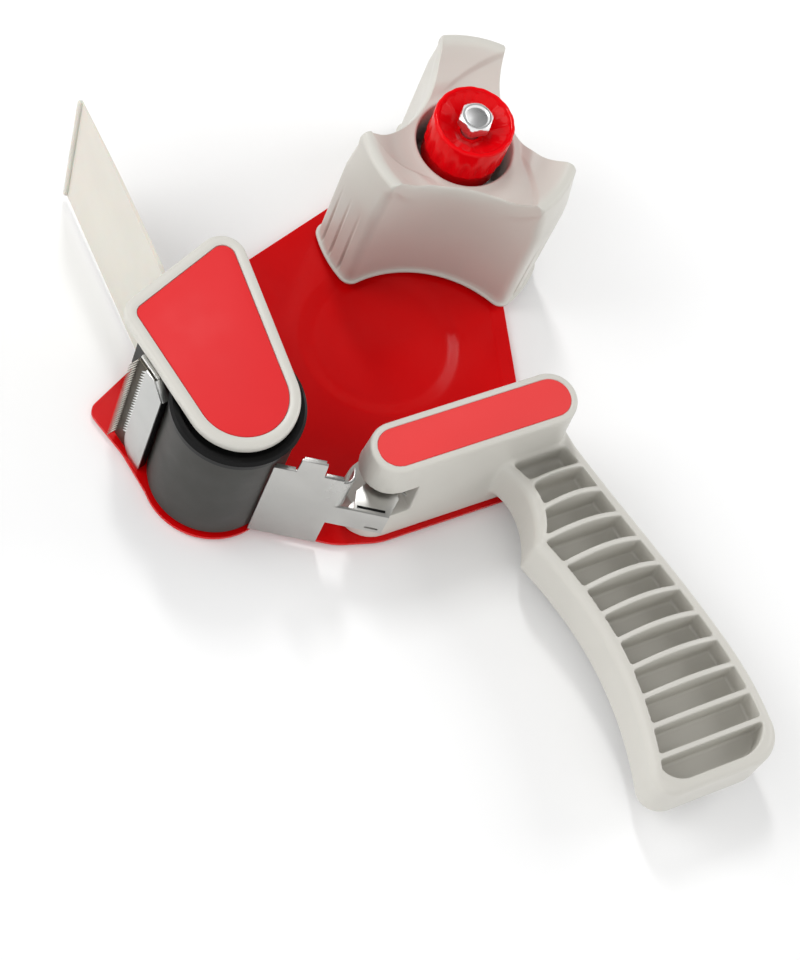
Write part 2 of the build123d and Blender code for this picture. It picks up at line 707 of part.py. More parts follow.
with BuildPart() as wiper_flap:
    # web that thins towards its free end, with a root bead and a rounded lip
    with BuildSketch(Plane.XY.offset(FLAP_LOW)):
        with Locations(FLAP_PIVOT):
            Circle(FLAP_BEAD_R)
        with BuildLine():
            Polyline(
                (FLAP_PIVOT[0] - FLAP_ROOT / 2, FLAP_PIVOT[1]),
                (FLAP_PIVOT[0] + FLAP_ROOT / 2, FLAP_PIVOT[1]),
                (FLAP_PIVOT[0] + FLAP_TIP / 2, FLAP_REACH_HIGH),
                (FLAP_PIVOT[0] - FLAP_TIP / 2, FLAP_REACH_HIGH),
                close=True,
            )
        make_face()
        with Locations((FLAP_PIVOT[0], FLAP_REACH_HIGH)):
            Circle(FLAP_TIP / 2)
    extrude(amount=FLAP_HIGH - FLAP_LOW)
    # slanted free edge
    with BuildSketch(Plane.YZ.offset(FLAP_PIVOT[0])):
        Polygon(
            (FLAP_REACH_LOW, FLAP_LOW),
            (FLAP_REACH_HIGH + 2, FLAP_LOW),
            (FLAP_REACH_HIGH + 2, FLAP_HIGH),
            (FLAP_REACH_HIGH, FLAP_HIGH),
            align=None,
        )
    extrude(amount=4.0, both=True, mode=Mode.SUBTRACT)
    with BuildLine() as lip_line:
        Line(
            (FLAP_PIVOT[0] - 0.5, FLAP_REACH_LOW, FLAP_LOW),
            (FLAP_PIVOT[0] - 0.5, FLAP_REACH_HIGH, FLAP_HIGH),
        )
    with BuildSketch(Plane(origin=lip_line.line @ 0, z_dir=lip_line.line % 0)):
        Circle(LIP_R)
    sweep(path=lip_line.line)
    # the lip is trimmed level with the flap
    with BuildSketch(Plane.XY.offset(FLAP_HIGH)):
        with Locations((FLAP_PIVOT[0], FLAP_REACH_HIGH)):
            Circle(5)
    extrude(amount=3, mode=Mode.SUBTRACT)
    with BuildSketch(Plane.XY.offset(FLAP_LOW)):
        with Locations((FLAP_PIVOT[0], FLAP_REACH_LOW)):
            Circle(5)
    extrude(amount=-3, mode=Mode.SUBTRACT)
save(wiper_flap, "wiper_flap")


# ======================================================================= guide plate
guide_dir = Vector(1, 0).rotate(Axis.Z, GUIDE_ANGLE)
guide_back = Vector(0, 1).rotate(Axis.Z, GUIDE_ANGLE)
guide_face = Plane(origin=(*GUIDE_START, 0), x_dir=guide_dir, z_dir=-guide_back)


def guide_level(z):
    """Plane at height z whose x runs along the guide plate and y runs behind it."""
    return Plane(origin=(*GUIDE_START, z), x_dir=guide_dir, z_dir=(0, 0, 1))


pin_local = guide_level(0).to_local_coords(Vector(*GUIDE_PIN_XY, 0))
with BuildPart() as guide_plate:
    with BuildSketch(guide_face):
        Polygon(
            (0, GUIDE_LOW),
            (GUIDE_WIDTH, GUIDE_LOW),
            (GUIDE_WIDTH, STRAP_LOW),
            (STRAP_END, STRAP_LOW),
            (STRAP_END, STRAP_HIGH),
            (GUIDE_WIDTH + 0.4, STRAP_HIGH),
            (GUIDE_WIDTH, GUIDE_SHOULDER),
            (15.2, GUIDE_SHOULDER),
            (14.8, GUIDE_TAB),
            (7.0, GUIDE_TAB),
            (6.8, GUIDE_SHOULDER),
            (0, GUIDE_SHOULDER),
            align=None,
        )
        with Locations((35.4, STRAP_LOW + 2.2)):
            Rectangle(4.2, 1.2, mode=Mode.SUBTRACT)
    extrude(amount=GUIDE_SHEET / 2, both=True)
    # lips folded back along the top edges
    lips = ((0.6, 6.4, GUIDE_SHOULDER), (7.6, 14.2, GUIDE_TAB), (15.8, 21.0, GUIDE_SHOULDER))
    for start, end, level in lips:
        with BuildSketch(guide_level(level - 0.7)):
            with Locations(((start + end) / 2, 0.6)):
                Rectangle(end - start, 1.2)
        extrude(amount=0.7)
    # hinge ears folded back from the strap
    for level in (STRAP_LOW, STRAP_HIGH - GUIDE_SHEET):
        with BuildSketch(guide_level(level)):
            with BuildLine():
                Polyline(
                    (EAR_START, 0),
                    (STRAP_END, 0),
                    (STRAP_END + 2.2, 6.5),
                    (pin_local.X + EAR_R, pin_local.Y),
                )
                ThreePointArc(
                    (pin_local.X + EAR_R, pin_local.Y),
                    (pin_local.X, pin_local.Y + EAR_R),
                    (pin_local.X - EAR_R, pin_local.Y),
                )
                Polyline(
                    (pin_local.X - EAR_R, pin_local.Y),
                    (EAR_START, 6.5),
                    (EAR_START, 0),
                )
            make_face()
            with Locations((pin_local.X, pin_local.Y)):
                Circle(GUIDE_PIN_R + RUN_GAP, mode=Mode.SUBTRACT)
        extrude(amount=GUIDE_SHEET)
    # curled wing beside the strap
    with BuildSketch(guide_level(STRAP_HIGH - 0.4)):
        with BuildLine():
            outer = RadiusArc((GUIDE_WIDTH - 0.1, -0.4), (GUIDE_WIDTH + 3.4, 3.1), -3.5)
            Line(outer @ 1, (GUIDE_WIDTH + 3.4, 5.6))
            Line((GUIDE_WIDTH + 3.4, 5.6), (GUIDE_WIDTH + 2.6, 5.6))
            Line((GUIDE_WIDTH + 2.6, 5.6), (GUIDE_WIDTH + 2.6, 3.1))
            RadiusArc((GUIDE_WIDTH + 2.6, 3.1), (GUIDE_WIDTH - 0.1, 0.4), 2.7)
            Line((GUIDE_WIDTH - 0.1, 0.4), outer @ 0)
        make_face()
    extrude(amount=GUIDE_SHOULDER - 0.8 - STRAP_HIGH)
save(guide_plate, "guide_plate")

with BuildPart() as guide_pin:
    with BuildSketch(Plane.XY.offset(GUIDE_PIN_LOW)):
        with Locations(GUIDE_PIN_XY):
            Circle(GUIDE_PIN_R)
    extrude(amount=GUIDE_PIN_HIGH - GUIDE_PIN_LOW)
save(guide_pin, "guide_pin")

with BuildPart() as guide_spring:
    with BuildLine() as coil:
        turns = Helix(
            pitch=1.2,
            height=6.0,
            radius=TORSION_R,
            center=(*GUIDE_PIN_XY, STRAP_LOW + GUIDE_SHEET + 1.2),
        )
        leg = Line(turns @ 1, (turns @ 1) + Vector(0, -6.6, 0).rotate(Axis.Z, 28))
    with BuildSketch(Plane(origin=turns @ 0, z_dir=turns % 0)):
        Circle(TORSION_WIRE_R)
    sweep(path=turns, is_frenet=True)
    with BuildSketch(Plane(origin=leg @ 0, z_dir=leg % 0)):
        Circle(TORSION_WIRE_R)
    sweep(path=leg)
save(guide_spring, "guide_spring")


# ======================================================================= handle
def grip_outline(inset=0.0):
    """Face of the grip: finger stop at the front, smooth back, rounded end, all moved inwards."""
    front = -20.0 + inset
    back = 19.2 - inset
    end = GRIP_END_Y + inset
    with BuildSketch(mode=Mode.PRIVATE) as grip:
        with BuildLine():
            Spline(
                (front - 5.0, -97.0),
                (front - 1.7, -105.5),
                (front - 2.4, -114.5),
                (front - 6.9, -124.0),
            )
            Spline(
                (front - 6.9, -124.0),
                (front - 2.8, -138.0),
                (front + 0.4, -158.0),
                (front - 0.4, -182.0),
                (front - 5.2, -203.0),
            )
            ThreePointArc((front - 5.2, -203.0), (front - 3.6, end + 2.6), (front + 2.5, end))
            Line((front + 2.5, end), (back - 11.2, end))
            ThreePointArc((back - 11.2, end), (back - 3.0, end + 3.6), (back, -200.0))
            Spline(
                (back, -200.0),
                (back + 0.2, -186.0),
                (back - 3.4, -161.0),
                (back - 10.2, -131.0),
                (back - 18.0, -97.0),
            )
            Polyline(
                (back - 18.0, -97.0),
                (back - 18.8, -88.0),
                (front - 5.0, -88.0),
                (front - 5.0, -97.0),
            )
        make_face()
        fillet(grip.vertices().sort_by(Axis.X)[0], 2.0)
    return grip.sketch


with BuildPart() as handle:
    # grip with softly rounded edges
    with BuildSketch(Plane.XY.offset(GRIP_MID)):
        add(grip_outline())
    extrude(amount=GRIP_HALF, both=True)
    fillet(handle.faces().filter_by(Axis.Z).edges(), 3.0)
    # arm: stadium with draft, hollow from below
    with BuildSketch(Plane.XY.offset(ARM_TOP)):
        with Locations(ARM_CENTRE):
            SlotCenterToCenter(2 * ARM_HALF, 2 * ARM_TOP_R)
    extrude(amount=-(ARM_TOP - PLATE_TOP), taper=-ARM_DRAFT)
    # pockets on both faces, one between each pair of ribs
    pocket_depth = GRIP_HALF - GRIP_WEB / 2
    for level, depth in ((GRIP_HIGH, -pocket_depth), (GRIP_LOW, pocket_depth)):
        with BuildSketch(Plane.XY.offset(level)):
            add(grip_outline(GRIP_RIM))
            with Locations((0, -80.0)):
                Rectangle(80, 33.6, mode=Mode.SUBTRACT)
            with Locations(*[(0, RIB_FIRST_Y - k * RIB_PITCH) for k in range(RIB_COUNT)]):
                Rectangle(60, RIB_THICK, mode=Mode.SUBTRACT)
        extrude(amount=depth, mode=Mode.SUBTRACT)
    # recess at the front for the hinge of the guide plate
    with BuildSketch(Plane.XY.offset(RECESS_LOW)):
        with Locations((RECESS_X - 15.0, ARM_CENTRE[1])):
            Rectangle(30.0, 26.0)
    extrude(amount=RECESS_HIGH - RECESS_LOW, mode=Mode.SUBTRACT)
    with BuildSketch(Plane.XY.offset(PLATE_TOP)):
        with Locations((-33.0, -86.8)):
            SlotCenterToCenter(10.0, 15.0)
    extrude(amount=38.0, mode=Mode.SUBTRACT)
    with BuildSketch(Plane.XY.offset(ARM_TOP)):
        with Locations(ARM_CENTRE):
            SlotCenterToCenter(2 * ARM_HALF, 2 * ARM_INSERT_R)
    extrude(amount=-INSERT_RECESS, mode=Mode.SUBTRACT)
    with Locations((*GUIDE_PIN_XY, GUIDE_PIN_HIGH)):
        Hole(radius=GUIDE_PIN_R, depth=GUIDE_PIN_HIGH - GUIDE_PIN_LOW)
    with Locations(*[(x, y, PLATE_TOP) for x, y in HANDLE_SCREWS]):
        Cylinder(
            HANDLE_SCREW_R,
            HANDLE_SCREW_DEPTH,
            align=(Align.CENTER, Align.CENTER, Align.MIN),
            mode=Mode.SUBTRACT,
        )
save(handle, "handle")

with BuildPart() as handle_insert:
    with BuildSketch(Plane.XY.offset(ARM_TOP - INSERT_RECESS)):
        with Locations(ARM_CENTRE):
            SlotCenterToCenter(2 * ARM_HALF, 2 * ARM_INSERT_R - 0.3)
    extrude(amount=0.7)
save(handle_insert, "handle_insert")

with BuildPart() as handle_screws:
    with Locations(*[(x, y, PLATE_UNDER) for x, y in HANDLE_SCREWS]):
        Cylinder(
            HANDLE_SCREW_R,
            SHEET + HANDLE_SCREW_DEPTH,
            align=(Align.CENTER, Align.CENTER, Align.MIN),
        )
    with Locations(*[(x, y, PLATE_UNDER) for x, y in HANDLE_SCREWS]):
        Cylinder(3.8, 0.8, align=(Align.CENTER, Align.CENTER, Align.MAX))
save(handle_screws, "handle_screws")
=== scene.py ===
from math import acos, atan2, cos, exp, hypot, pi, radians, sin, sqrt, tan

import bmesh
import bpy
from mathutils import Matrix, Vector
from mathutils.geometry import delaunay_2d_cdt


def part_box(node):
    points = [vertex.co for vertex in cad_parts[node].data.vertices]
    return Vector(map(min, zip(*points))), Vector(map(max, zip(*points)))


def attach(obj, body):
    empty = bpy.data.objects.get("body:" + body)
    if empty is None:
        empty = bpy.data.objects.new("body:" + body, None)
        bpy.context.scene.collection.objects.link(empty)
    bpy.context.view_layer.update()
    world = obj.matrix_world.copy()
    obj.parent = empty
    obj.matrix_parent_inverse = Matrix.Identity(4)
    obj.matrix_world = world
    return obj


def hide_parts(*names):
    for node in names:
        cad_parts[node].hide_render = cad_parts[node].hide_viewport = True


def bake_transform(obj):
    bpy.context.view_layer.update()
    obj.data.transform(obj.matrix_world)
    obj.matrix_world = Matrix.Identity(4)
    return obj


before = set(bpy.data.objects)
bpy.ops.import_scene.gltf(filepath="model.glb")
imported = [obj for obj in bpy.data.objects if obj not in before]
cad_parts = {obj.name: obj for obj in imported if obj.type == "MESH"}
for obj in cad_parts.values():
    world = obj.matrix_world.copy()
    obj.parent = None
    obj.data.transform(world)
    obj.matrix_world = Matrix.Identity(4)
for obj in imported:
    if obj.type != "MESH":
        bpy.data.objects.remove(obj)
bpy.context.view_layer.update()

# Visual model of the tape dispenser.  Pieces are worked out in millimetres in the row frame and
# scaled to metres when their mesh is made.  Most heights and some places come from the boxes of
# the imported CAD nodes; the other sizes are named beside the piece that they shape.

MM = 0.001


def box_mm(node):
    """Lowest and highest corner of a CAD node, in millimetres."""
    low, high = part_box(node)
    return low / MM, high / MM


# ------------------------------------------------------------------ mesh helpers


def link(name, mesh):
    """Object for a mesh, linked to the scene."""
    piece = bpy.data.objects.new(name, mesh)
    bpy.context.scene.collection.objects.link(piece)
    return piece


def new_piece(name, mesh, body, material, replaced=(), smooth_angle=35.0):
    """Links a finished mesh as a piece that rides on a CAD body and may stand for CAD nodes."""
    piece = link(name, mesh)
    mesh.materials.clear()
    mesh.materials.append(material)
    mesh.polygons.foreach_set("use_smooth", [True] * len(mesh.polygons))
    mesh.set_sharp_from_angle(angle=radians(smooth_angle))
    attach(piece, body)
    if replaced:
        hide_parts(*replaced)


def mesh_from(name, points, faces):
    """Mesh in metres from points in millimetres, welded and with outward normals."""
    mesh = bpy.data.meshes.new(name)
    mesh.from_pydata([[c * MM for c in p] for p in points], [], faces)
    bm = bmesh.new()
    bm.from_mesh(mesh)
    bmesh.ops.remove_doubles(bm, verts=bm.verts, dist=1e-6)
    bmesh.ops.recalc_face_normals(bm, faces=bm.faces)
    bm.to_mesh(mesh)
    bm.free()
    return mesh


def skin(rings, closed_profile=False):
    """Points and faces over a list of equal rings, capped unless the profile closes on itself."""
    count = len(rings[0])
    points = [p for ring in rings for p in ring]
    faces = []
    spans = len(rings) if closed_profile else len(rings) - 1
    for i in range(spans):
        a, b = i * count, ((i + 1) % len(rings)) * count
        for k in range(count):
            n = (k + 1) % count
            faces.append((a + k, a + n, b + n, b + k))
    if not closed_profile:
        faces.append(tuple(reversed(range(count))))
        faces.append(tuple(range((len(rings) - 1) * count, len(rings) * count)))
    return points, faces


def joined(parts):
    """Points and faces of several closed shells as one list each."""
    points, faces = [], []
    for part_points, part_faces in parts:
        shift = len(points)
        points += part_points
        faces += [tuple(i + shift for i in face) for face in part_faces]
    return points, faces


def circle_ring(centre, radius, height, steps):
    """Circle of equal steps at one height."""
    turns = [2 * pi * k / steps for k in range(steps)]
    return [(centre[0] + radius * cos(a), centre[1] + radius * sin(a), height) for a in turns]


def capsule_ring(corners, inset, height, steps=180):
    """Outline around corner circles (x, y, radius), moved inwards by the inset."""
    ring = []
    for k in range(steps):
        a = 2 * pi * k / steps
        x, y, radius = max(corners, key=lambda c: c[0] * cos(a) + c[1] * sin(a) + c[2])
        ring.append((x + (radius - inset) * cos(a), y + (radius - inset) * sin(a), height))
    return ring


def smoothstep(low, high, x):
    """Soft step from 0 at low to 1 at high."""
    t = min(1.0, max(0.0, (x - low) / (high - low)))
    return t * t * (3 - 2 * t)


def mixed(a, b, t):
    """Value on the way from a, where t is 0, to b, where t is 1."""
    return a + (b - a) * t


def rounded_path(corners, steps):
    """Closed outline through (x, y, radius) corners, each turned by an arc of that radius."""
    path = []
    for i, (x, y, radius) in enumerate(corners):
        here = Vector((x, y))
        before = Vector(corners[i - 1][:2]) - here
        after = Vector(corners[(i + 1) % len(corners)][:2]) - here
        if radius <= 0:
            path.append(here)
            continue
        half = before.angle(after) / 2
        reach = min(radius / tan(half), 0.49 * before.length, 0.49 * after.length)
        radius = reach * tan(half)
        middle = here + (before.normalized() + after.normalized()).normalized() * (radius / sin(half))
        start = here + before.normalized() * reach - middle
        sweep = start.angle_signed(here + after.normalized() * reach - middle)
        for k in range(steps + 1):
            turn = -sweep * k / steps
            path.append(middle + Matrix.Rotation(turn, 2) @ start)
    return path


def arc_through(a, b, c, steps):
    """Points on the circle through three points, from the first to the last."""
    a, b, c = Vector(a), Vector(b), Vector(c)
    d = 2 * (a.x * (b.y - c.y) + b.x * (c.y - a.y) + c.x * (a.y - b.y))
    sa, sb, sc = a.length_squared, b.length_squared, c.length_squared
    middle = Vector((
        (sa * (b.y - c.y) + sb * (c.y - a.y) + sc * (a.y - b.y)) / d,
        (sa * (c.x - b.x) + sb * (a.x - c.x) + sc * (b.x - a.x)) / d,
    ))
    start = a - middle
    sweep = -(start.angle_signed(b - middle) + (b - middle).angle_signed(c - middle))
    return [middle + Matrix.Rotation(sweep * k / steps, 2) @ start for k in range(steps + 1)]


def evaluated(piece):
    """Mesh of a helper object with its modifiers applied; the helper is removed."""
    graph = bpy.context.evaluated_depsgraph_get()
    mesh = bpy.data.meshes.new_from_object(piece.evaluated_get(graph))
    old = piece.data
    bpy.data.objects.remove(piece)
    bpy.data.meshes.remove(old)
    return mesh


def break_edges(bm, sharper_than, width, segments=2):
    """Rounds the edges that turn by more than an angle in degrees, by a width in millimetres."""
    limit = radians(sharper_than)
    edges = [e for e in bm.edges if e.is_manifold and e.calc_face_angle() > limit]
    bmesh.ops.bevel(
        bm, geom=edges, offset=width * MM, offset_type="OFFSET", segments=segments, profile=0.5,
        affect="EDGES", clamp_overlap=True,
    )


def bevelled_copy(node, width):
    """Copy of a CAD node's mesh with its flat faces merged and its sharp edges broken."""
    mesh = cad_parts[node].data.copy()
    bm = bmesh.new()
    bm.from_mesh(mesh)
    bmesh.ops.remove_doubles(bm, verts=bm.verts, dist=2e-6)
    bmesh.ops.dissolve_limit(bm, angle_limit=radians(2), verts=bm.verts, edges=bm.edges)
    break_edges(bm, 28, width)
    bmesh.ops.triangulate(bm, faces=bm.faces)
    bm.to_mesh(mesh)
    bm.free()
    return mesh


# ------------------------------------------------------------------ materials

STEEL_GRAIN = 0.000012
FLAP_SCATTER = 0.002


def base_material(name, colour, roughness, metallic=0.0):
    """Principled material with its constant sockets set; returns it with its tree and shader."""
    material = bpy.data.materials.new(name)
    material.use_nodes = True
    tree = material.node_tree
    shader = tree.nodes["Principled BSDF"]
    shader.inputs["Base Color"].default_value = (*colour, 1)
    shader.inputs["Roughness"].default_value = roughness
    shader.inputs["Metallic"].default_value = metallic
    return material, tree, shader


def noise(tree, scale, detail, stretch=None):
    """Noise texture in object space, in cycles a metre, stretched along an axis if asked."""
    place = tree.nodes.new("ShaderNodeTexCoord")
    texture = tree.nodes.new("ShaderNodeTexNoise")
    texture.inputs["Scale"].default_value = scale
    texture.inputs["Detail"].default_value = detail
    if stretch:
        mapping = tree.nodes.new("ShaderNodeMapping")
        mapping.inputs["Scale"].default_value = stretch
        tree.links.new(place.outputs["Object"], mapping.inputs["Vector"])
        tree.links.new(mapping.outputs["Vector"], texture.inputs["Vector"])
    else:
        tree.links.new(place.outputs["Object"], texture.inputs["Vector"])
    return texture


def vary_colour(tree, shader, texture, dark, light):
    """Base colour drifts between two close colours."""
    ramp = tree.nodes.new("ShaderNodeValToRGB")
    ramp.color_ramp.elements[0].position = 0.35
    ramp.color_ramp.elements[1].position = 0.65
    ramp.color_ramp.elements[0].color = (*dark, 1)
    ramp.color_ramp.elements[1].color = (*light, 1)
    tree.links.new(texture.outputs["Fac"], ramp.inputs["Fac"])
    tree.links.new(ramp.outputs["Color"], shader.inputs["Base Color"])


def vary_roughness(tree, shader, texture, low, high):
    """Roughness drifts between two values."""
    spread = tree.nodes.new("ShaderNodeMapRange")
    spread.inputs["From Min"].default_value = 0.3
    spread.inputs["From Max"].default_value = 0.7
    spread.inputs["To Min"].default_value = low
    spread.inputs["To Max"].default_value = high
    tree.links.new(texture.outputs["Fac"], spread.inputs["Value"])
    tree.links.new(spread.outputs["Result"], shader.inputs["Roughness"])


def add_bump(tree, shader, texture, height, strength):
    """Fine relief of a height in metres."""
    bump = tree.nodes.new("ShaderNodeBump")
    bump.inputs["Strength"].default_value = strength
    bump.inputs["Distance"].default_value = height
    tree.links.new(texture.outputs["Fac"], bump.inputs["Height"])
    tree.links.new(bump.outputs["Normal"], shader.inputs["Normal"])


def plastic(name, colour, roughness, grain=1800.0, depth=0.00003, drift=0.06, specular=0.5):
    """Moulded plastic: fine spark grain, slow colour drift and uneven gloss."""
    material, tree, shader = base_material(name, colour, roughness)
    shader.inputs["Specular IOR Level"].default_value = specular
    slow = noise(tree, 18.0, 3.0)
    dark = [c * (1 - drift) for c in colour]
    light = [min(1.0, c * (1 + drift)) for c in colour]
    vary_colour(tree, shader, slow, dark, light)
    vary_roughness(tree, shader, noise(tree, 60.0, 5.0), roughness * 0.85, roughness * 1.2)
    add_bump(tree, shader, noise(tree, grain, 2.0), depth, 0.35)
    return material


def steel(name, colour, roughness, stretch=None):
    """Rolled or plated steel: fine grain, drawn into lines if stretched, and smudged gloss."""
    material, tree, shader = base_material(name, colour, roughness, metallic=1.0)
    slow = noise(tree, 25.0, 4.0)
    vary_colour(tree, shader, slow, [c * 0.93 for c in colour], colour)
    vary_roughness(tree, shader, noise(tree, 90.0, 6.0), roughness * 0.8, roughness * 1.35)
    add_bump(tree, shader, noise(tree, 900.0, 3.0, stretch), STEEL_GRAIN, 0.3)
    return material


WARM_WHITE = plastic("warm_white_plastic", (0.57, 0.555, 0.51), 0.36, drift=0.03, specular=0.4)
FLAP_PLASTIC = plastic("flap_plastic", (0.61, 0.595, 0.53), 0.45, grain=1400.0, drift=0.03)
FLAP_SHADER = FLAP_PLASTIC.node_tree.nodes["Principled BSDF"]
FLAP_SHADER.inputs["Subsurface Weight"].default_value = 0.2
FLAP_SHADER.inputs["Subsurface Scale"].default_value = FLAP_SCATTER
RED_INLAY = plastic("red_inlay", (0.72, 0.048, 0.048), 0.55, grain=2600.0, drift=0.03, specular=0.25)
# the same red plastic as the arm's inlay, made darker for the cap as painted shade
CAP_RED_SHADED = plastic("cap_inlay_red_painted_shade", (0.66, 0.024, 0.027), 0.5, grain=2600.0, drift=0.03, specular=0.2)
RED_KNOB = plastic("red_knob", (0.72, 0.001, 0.004), 0.14, depth=0.00001, specular=0.11)
RED_PAINT = plastic(
    "red_paint", (0.60, 0.0015, 0.0025), 0.20, grain=420.0, depth=0.00002, specular=0.18
)
# black plastic of the roller and the flap holder, kept very dark as painted shade under the cap; also
# the black strips that paint shade in the guard's and the guide's gaps
BLACK_PLASTIC_AND_SHADE = plastic("black_plastic", (0.004, 0.004, 0.004), 0.3, specular=0.14)
RUBBER = plastic("roller_rubber", (0.030, 0.029, 0.025), 0.42, grain=3200.0, drift=0.15, specular=0.28)
FIBRE = plastic("fibre", (0.26, 0.12, 0.07), 0.8)
WHITE_ACETAL = plastic("white_acetal", (0.7, 0.7, 0.67), 0.4)
PLATED = steel("plated_steel", (0.53, 0.525, 0.505), 0.34, stretch=(1, 1, 14))
GUARD_STEEL = steel("guard_steel", (0.62, 0.625, 0.61), 0.32, stretch=(1, 1, 10))
# tooth steel darkened to paint the shaded side of the needles
SHADED_TOOTH_STEEL = steel("tooth_steel_painted_shade", (0.22, 0.208, 0.185), 0.30, stretch=(1, 1, 10))
# blade steel darkened to paint the shade behind the guard
SHADED_BLADE_STEEL = steel("blade_steel_painted_shade", (0.10, 0.088, 0.07), 0.42, stretch=(1, 1, 10))
BOLT_STEEL = steel("bolt_steel", (0.80, 0.80, 0.80), 0.30)
ZINC = steel("zinc_steel", (0.55, 0.55, 0.53), 0.36)

# nodes that are shown as they are, and the brake spring, whose copy keeps its material
NODE_MATERIALS = {
    "hub_axle": ZINC, "friction_washer": FIBRE, "hub_bush": WHITE_ACETAL, "brake_washer": ZINC,
    "brake_spring": ZINC, "thrust_washer": ZINC, "roller_axle": ZINC,
    "roller_core": BLACK_PLASTIC_AND_SHADE, "roller_sleeve": RUBBER, "roller_rim": BLACK_PLASTIC_AND_SHADE,
    "roller_clip": ZINC, "cap_screws": ZINC, "front_post": ZINC, "front_bracket": ZINC,
    "bracket_rivets": ZINC, "flap_holder": BLACK_PLASTIC_AND_SHADE, "holder_screws": ZINC,
    "guide_pin": ZINC, "guide_spring": ZINC, "handle_screws": ZINC,
}
for node_name, node_material in NODE_MATERIALS.items():
    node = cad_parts[node_name]
    node.data.materials.clear()
    node.data.materials.append(node_material)
    node.data.set_sharp_from_angle(angle=radians(30))

# ------------------------------------------------------------------ side plate

DISH_CENTRE = Vector((-32.7, -34.3))
DISH_SLOPE_IN = 21.4
DISH_SLOPE_OUT = 27.6
SLOPE_RINGS = 13
PLATE_SHEET = 1.2
# ends of the rear edge, whose strip is folded down
EDGE_LOW = Vector((-6.4, -99.0))
EDGE_HIGH = Vector((33.0, 31.5))
FOLD_WIDTH = 5.2
FOLD_DROP = 0.9
FOLD_STOP = 14.0
FOLD_SOFT = 0.6
OUTLINE_STEP = 3.0
CREASE_STEPS = 60
PLATE_EDGE_R = 0.28
SCREW_HEAD_R = 3.8
RIVET_HEAD_R = 3.0
PLATE_HOLES = (
    ("hub_axle", 4.0), ("roller_axle", 3.0), ("front_post", 2.0), ("handle_screws", 2.1),
    ("bracket_rivets", 1.6),
)
EDGE_RUN = (EDGE_HIGH - EDGE_LOW).normalized()
EDGE_OUT = Vector((EDGE_RUN.y, -EDGE_RUN.x))
CREASE_LOW = EDGE_LOW - EDGE_OUT * FOLD_WIDTH
CREASE_HIGH = EDGE_HIGH - EDGE_OUT * FOLD_WIDTH


def plate_holes():
    """Centre and radius of each hole, from the nodes that pass through the plate."""
    spots = []
    for name, radius in PLATE_HOLES:
        low, high = box_mm(name)
        middle = (low + high) / 2
        if name == "handle_screws":
            reach = (high.x - low.x) / 2 - SCREW_HEAD_R
            spots += [((middle.x - reach, middle.y), radius), ((middle.x + reach, middle.y), radius)]
        elif name == "bracket_rivets":
            reach = (high.y - low.y) / 2 - RIVET_HEAD_R
            spots += [((middle.x, middle.y - reach), radius), ((middle.x, middle.y + reach), radius)]
        else:
            spots.append(((middle.x, middle.y), radius))
    return spots


def plate_outline():
    """Outline of the plate, with the folded strip stopping short of its rear corner."""
    fold_end = EDGE_HIGH - EDGE_RUN * FOLD_STOP
    strip_root = fold_end - EDGE_OUT * FOLD_WIDTH
    roller_side = arc_through((-98.5, -81.1), (-119.4, -75.8), (-125.6, -59.5), 28)
    corners = [(EDGE_LOW.x, EDGE_LOW.y, 1.2), (-62.0, -99.0, 22.0), (-76.0, -95.2, 22.0)]
    corners += [(p.x, p.y, 0) for p in roller_side]
    corners += [(-127.4, -45.0, 12.0), (-132.0, -28.0, 4.0), (-64.0, 5.3, 14.0)]
    corners += [(CREASE_HIGH.x, CREASE_HIGH.y, 9.0)]
    corners += [(strip_root.x, strip_root.y, 0.8), (fold_end.x, fold_end.y, 1.6)]
    path = rounded_path(corners, steps=8)
    outline = []
    for i, point in enumerate(path):
        after = path[(i + 1) % len(path)]
        pieces = max(1, int((after - point).length / OUTLINE_STEP))
        outline += [point.lerp(after, k / pieces) for k in range(pieces)]
    return outline


def plate_top(p, level):
    """Height of the upper face: the level, less the round dish and the folded edge."""
    dish = smoothstep(DISH_SLOPE_IN, DISH_SLOPE_OUT, (p - DISH_CENTRE).length) - 1.0
    past = (p - CREASE_LOW).dot(EDGE_OUT)
    if past < -FOLD_SOFT:
        bend = 0.0
    elif past > FOLD_SOFT:
        bend = past
    else:
        bend = (past + FOLD_SOFT) ** 2 / (4 * FOLD_SOFT)
    return level + dish * (level - PLATE_SHEET) - FOLD_DROP / FOLD_WIDTH * bend


def inside(p, outline):
    """True where a point lies within a closed outline."""
    hit = False
    for i, a in enumerate(outline):
        b = outline[i - 1]
        if (a.y > p.y) != (b.y > p.y) and p.x < (b.x - a.x) * (p.y - a.y) / (b.y - a.y) + a.x:
            hit = not hit
    return hit


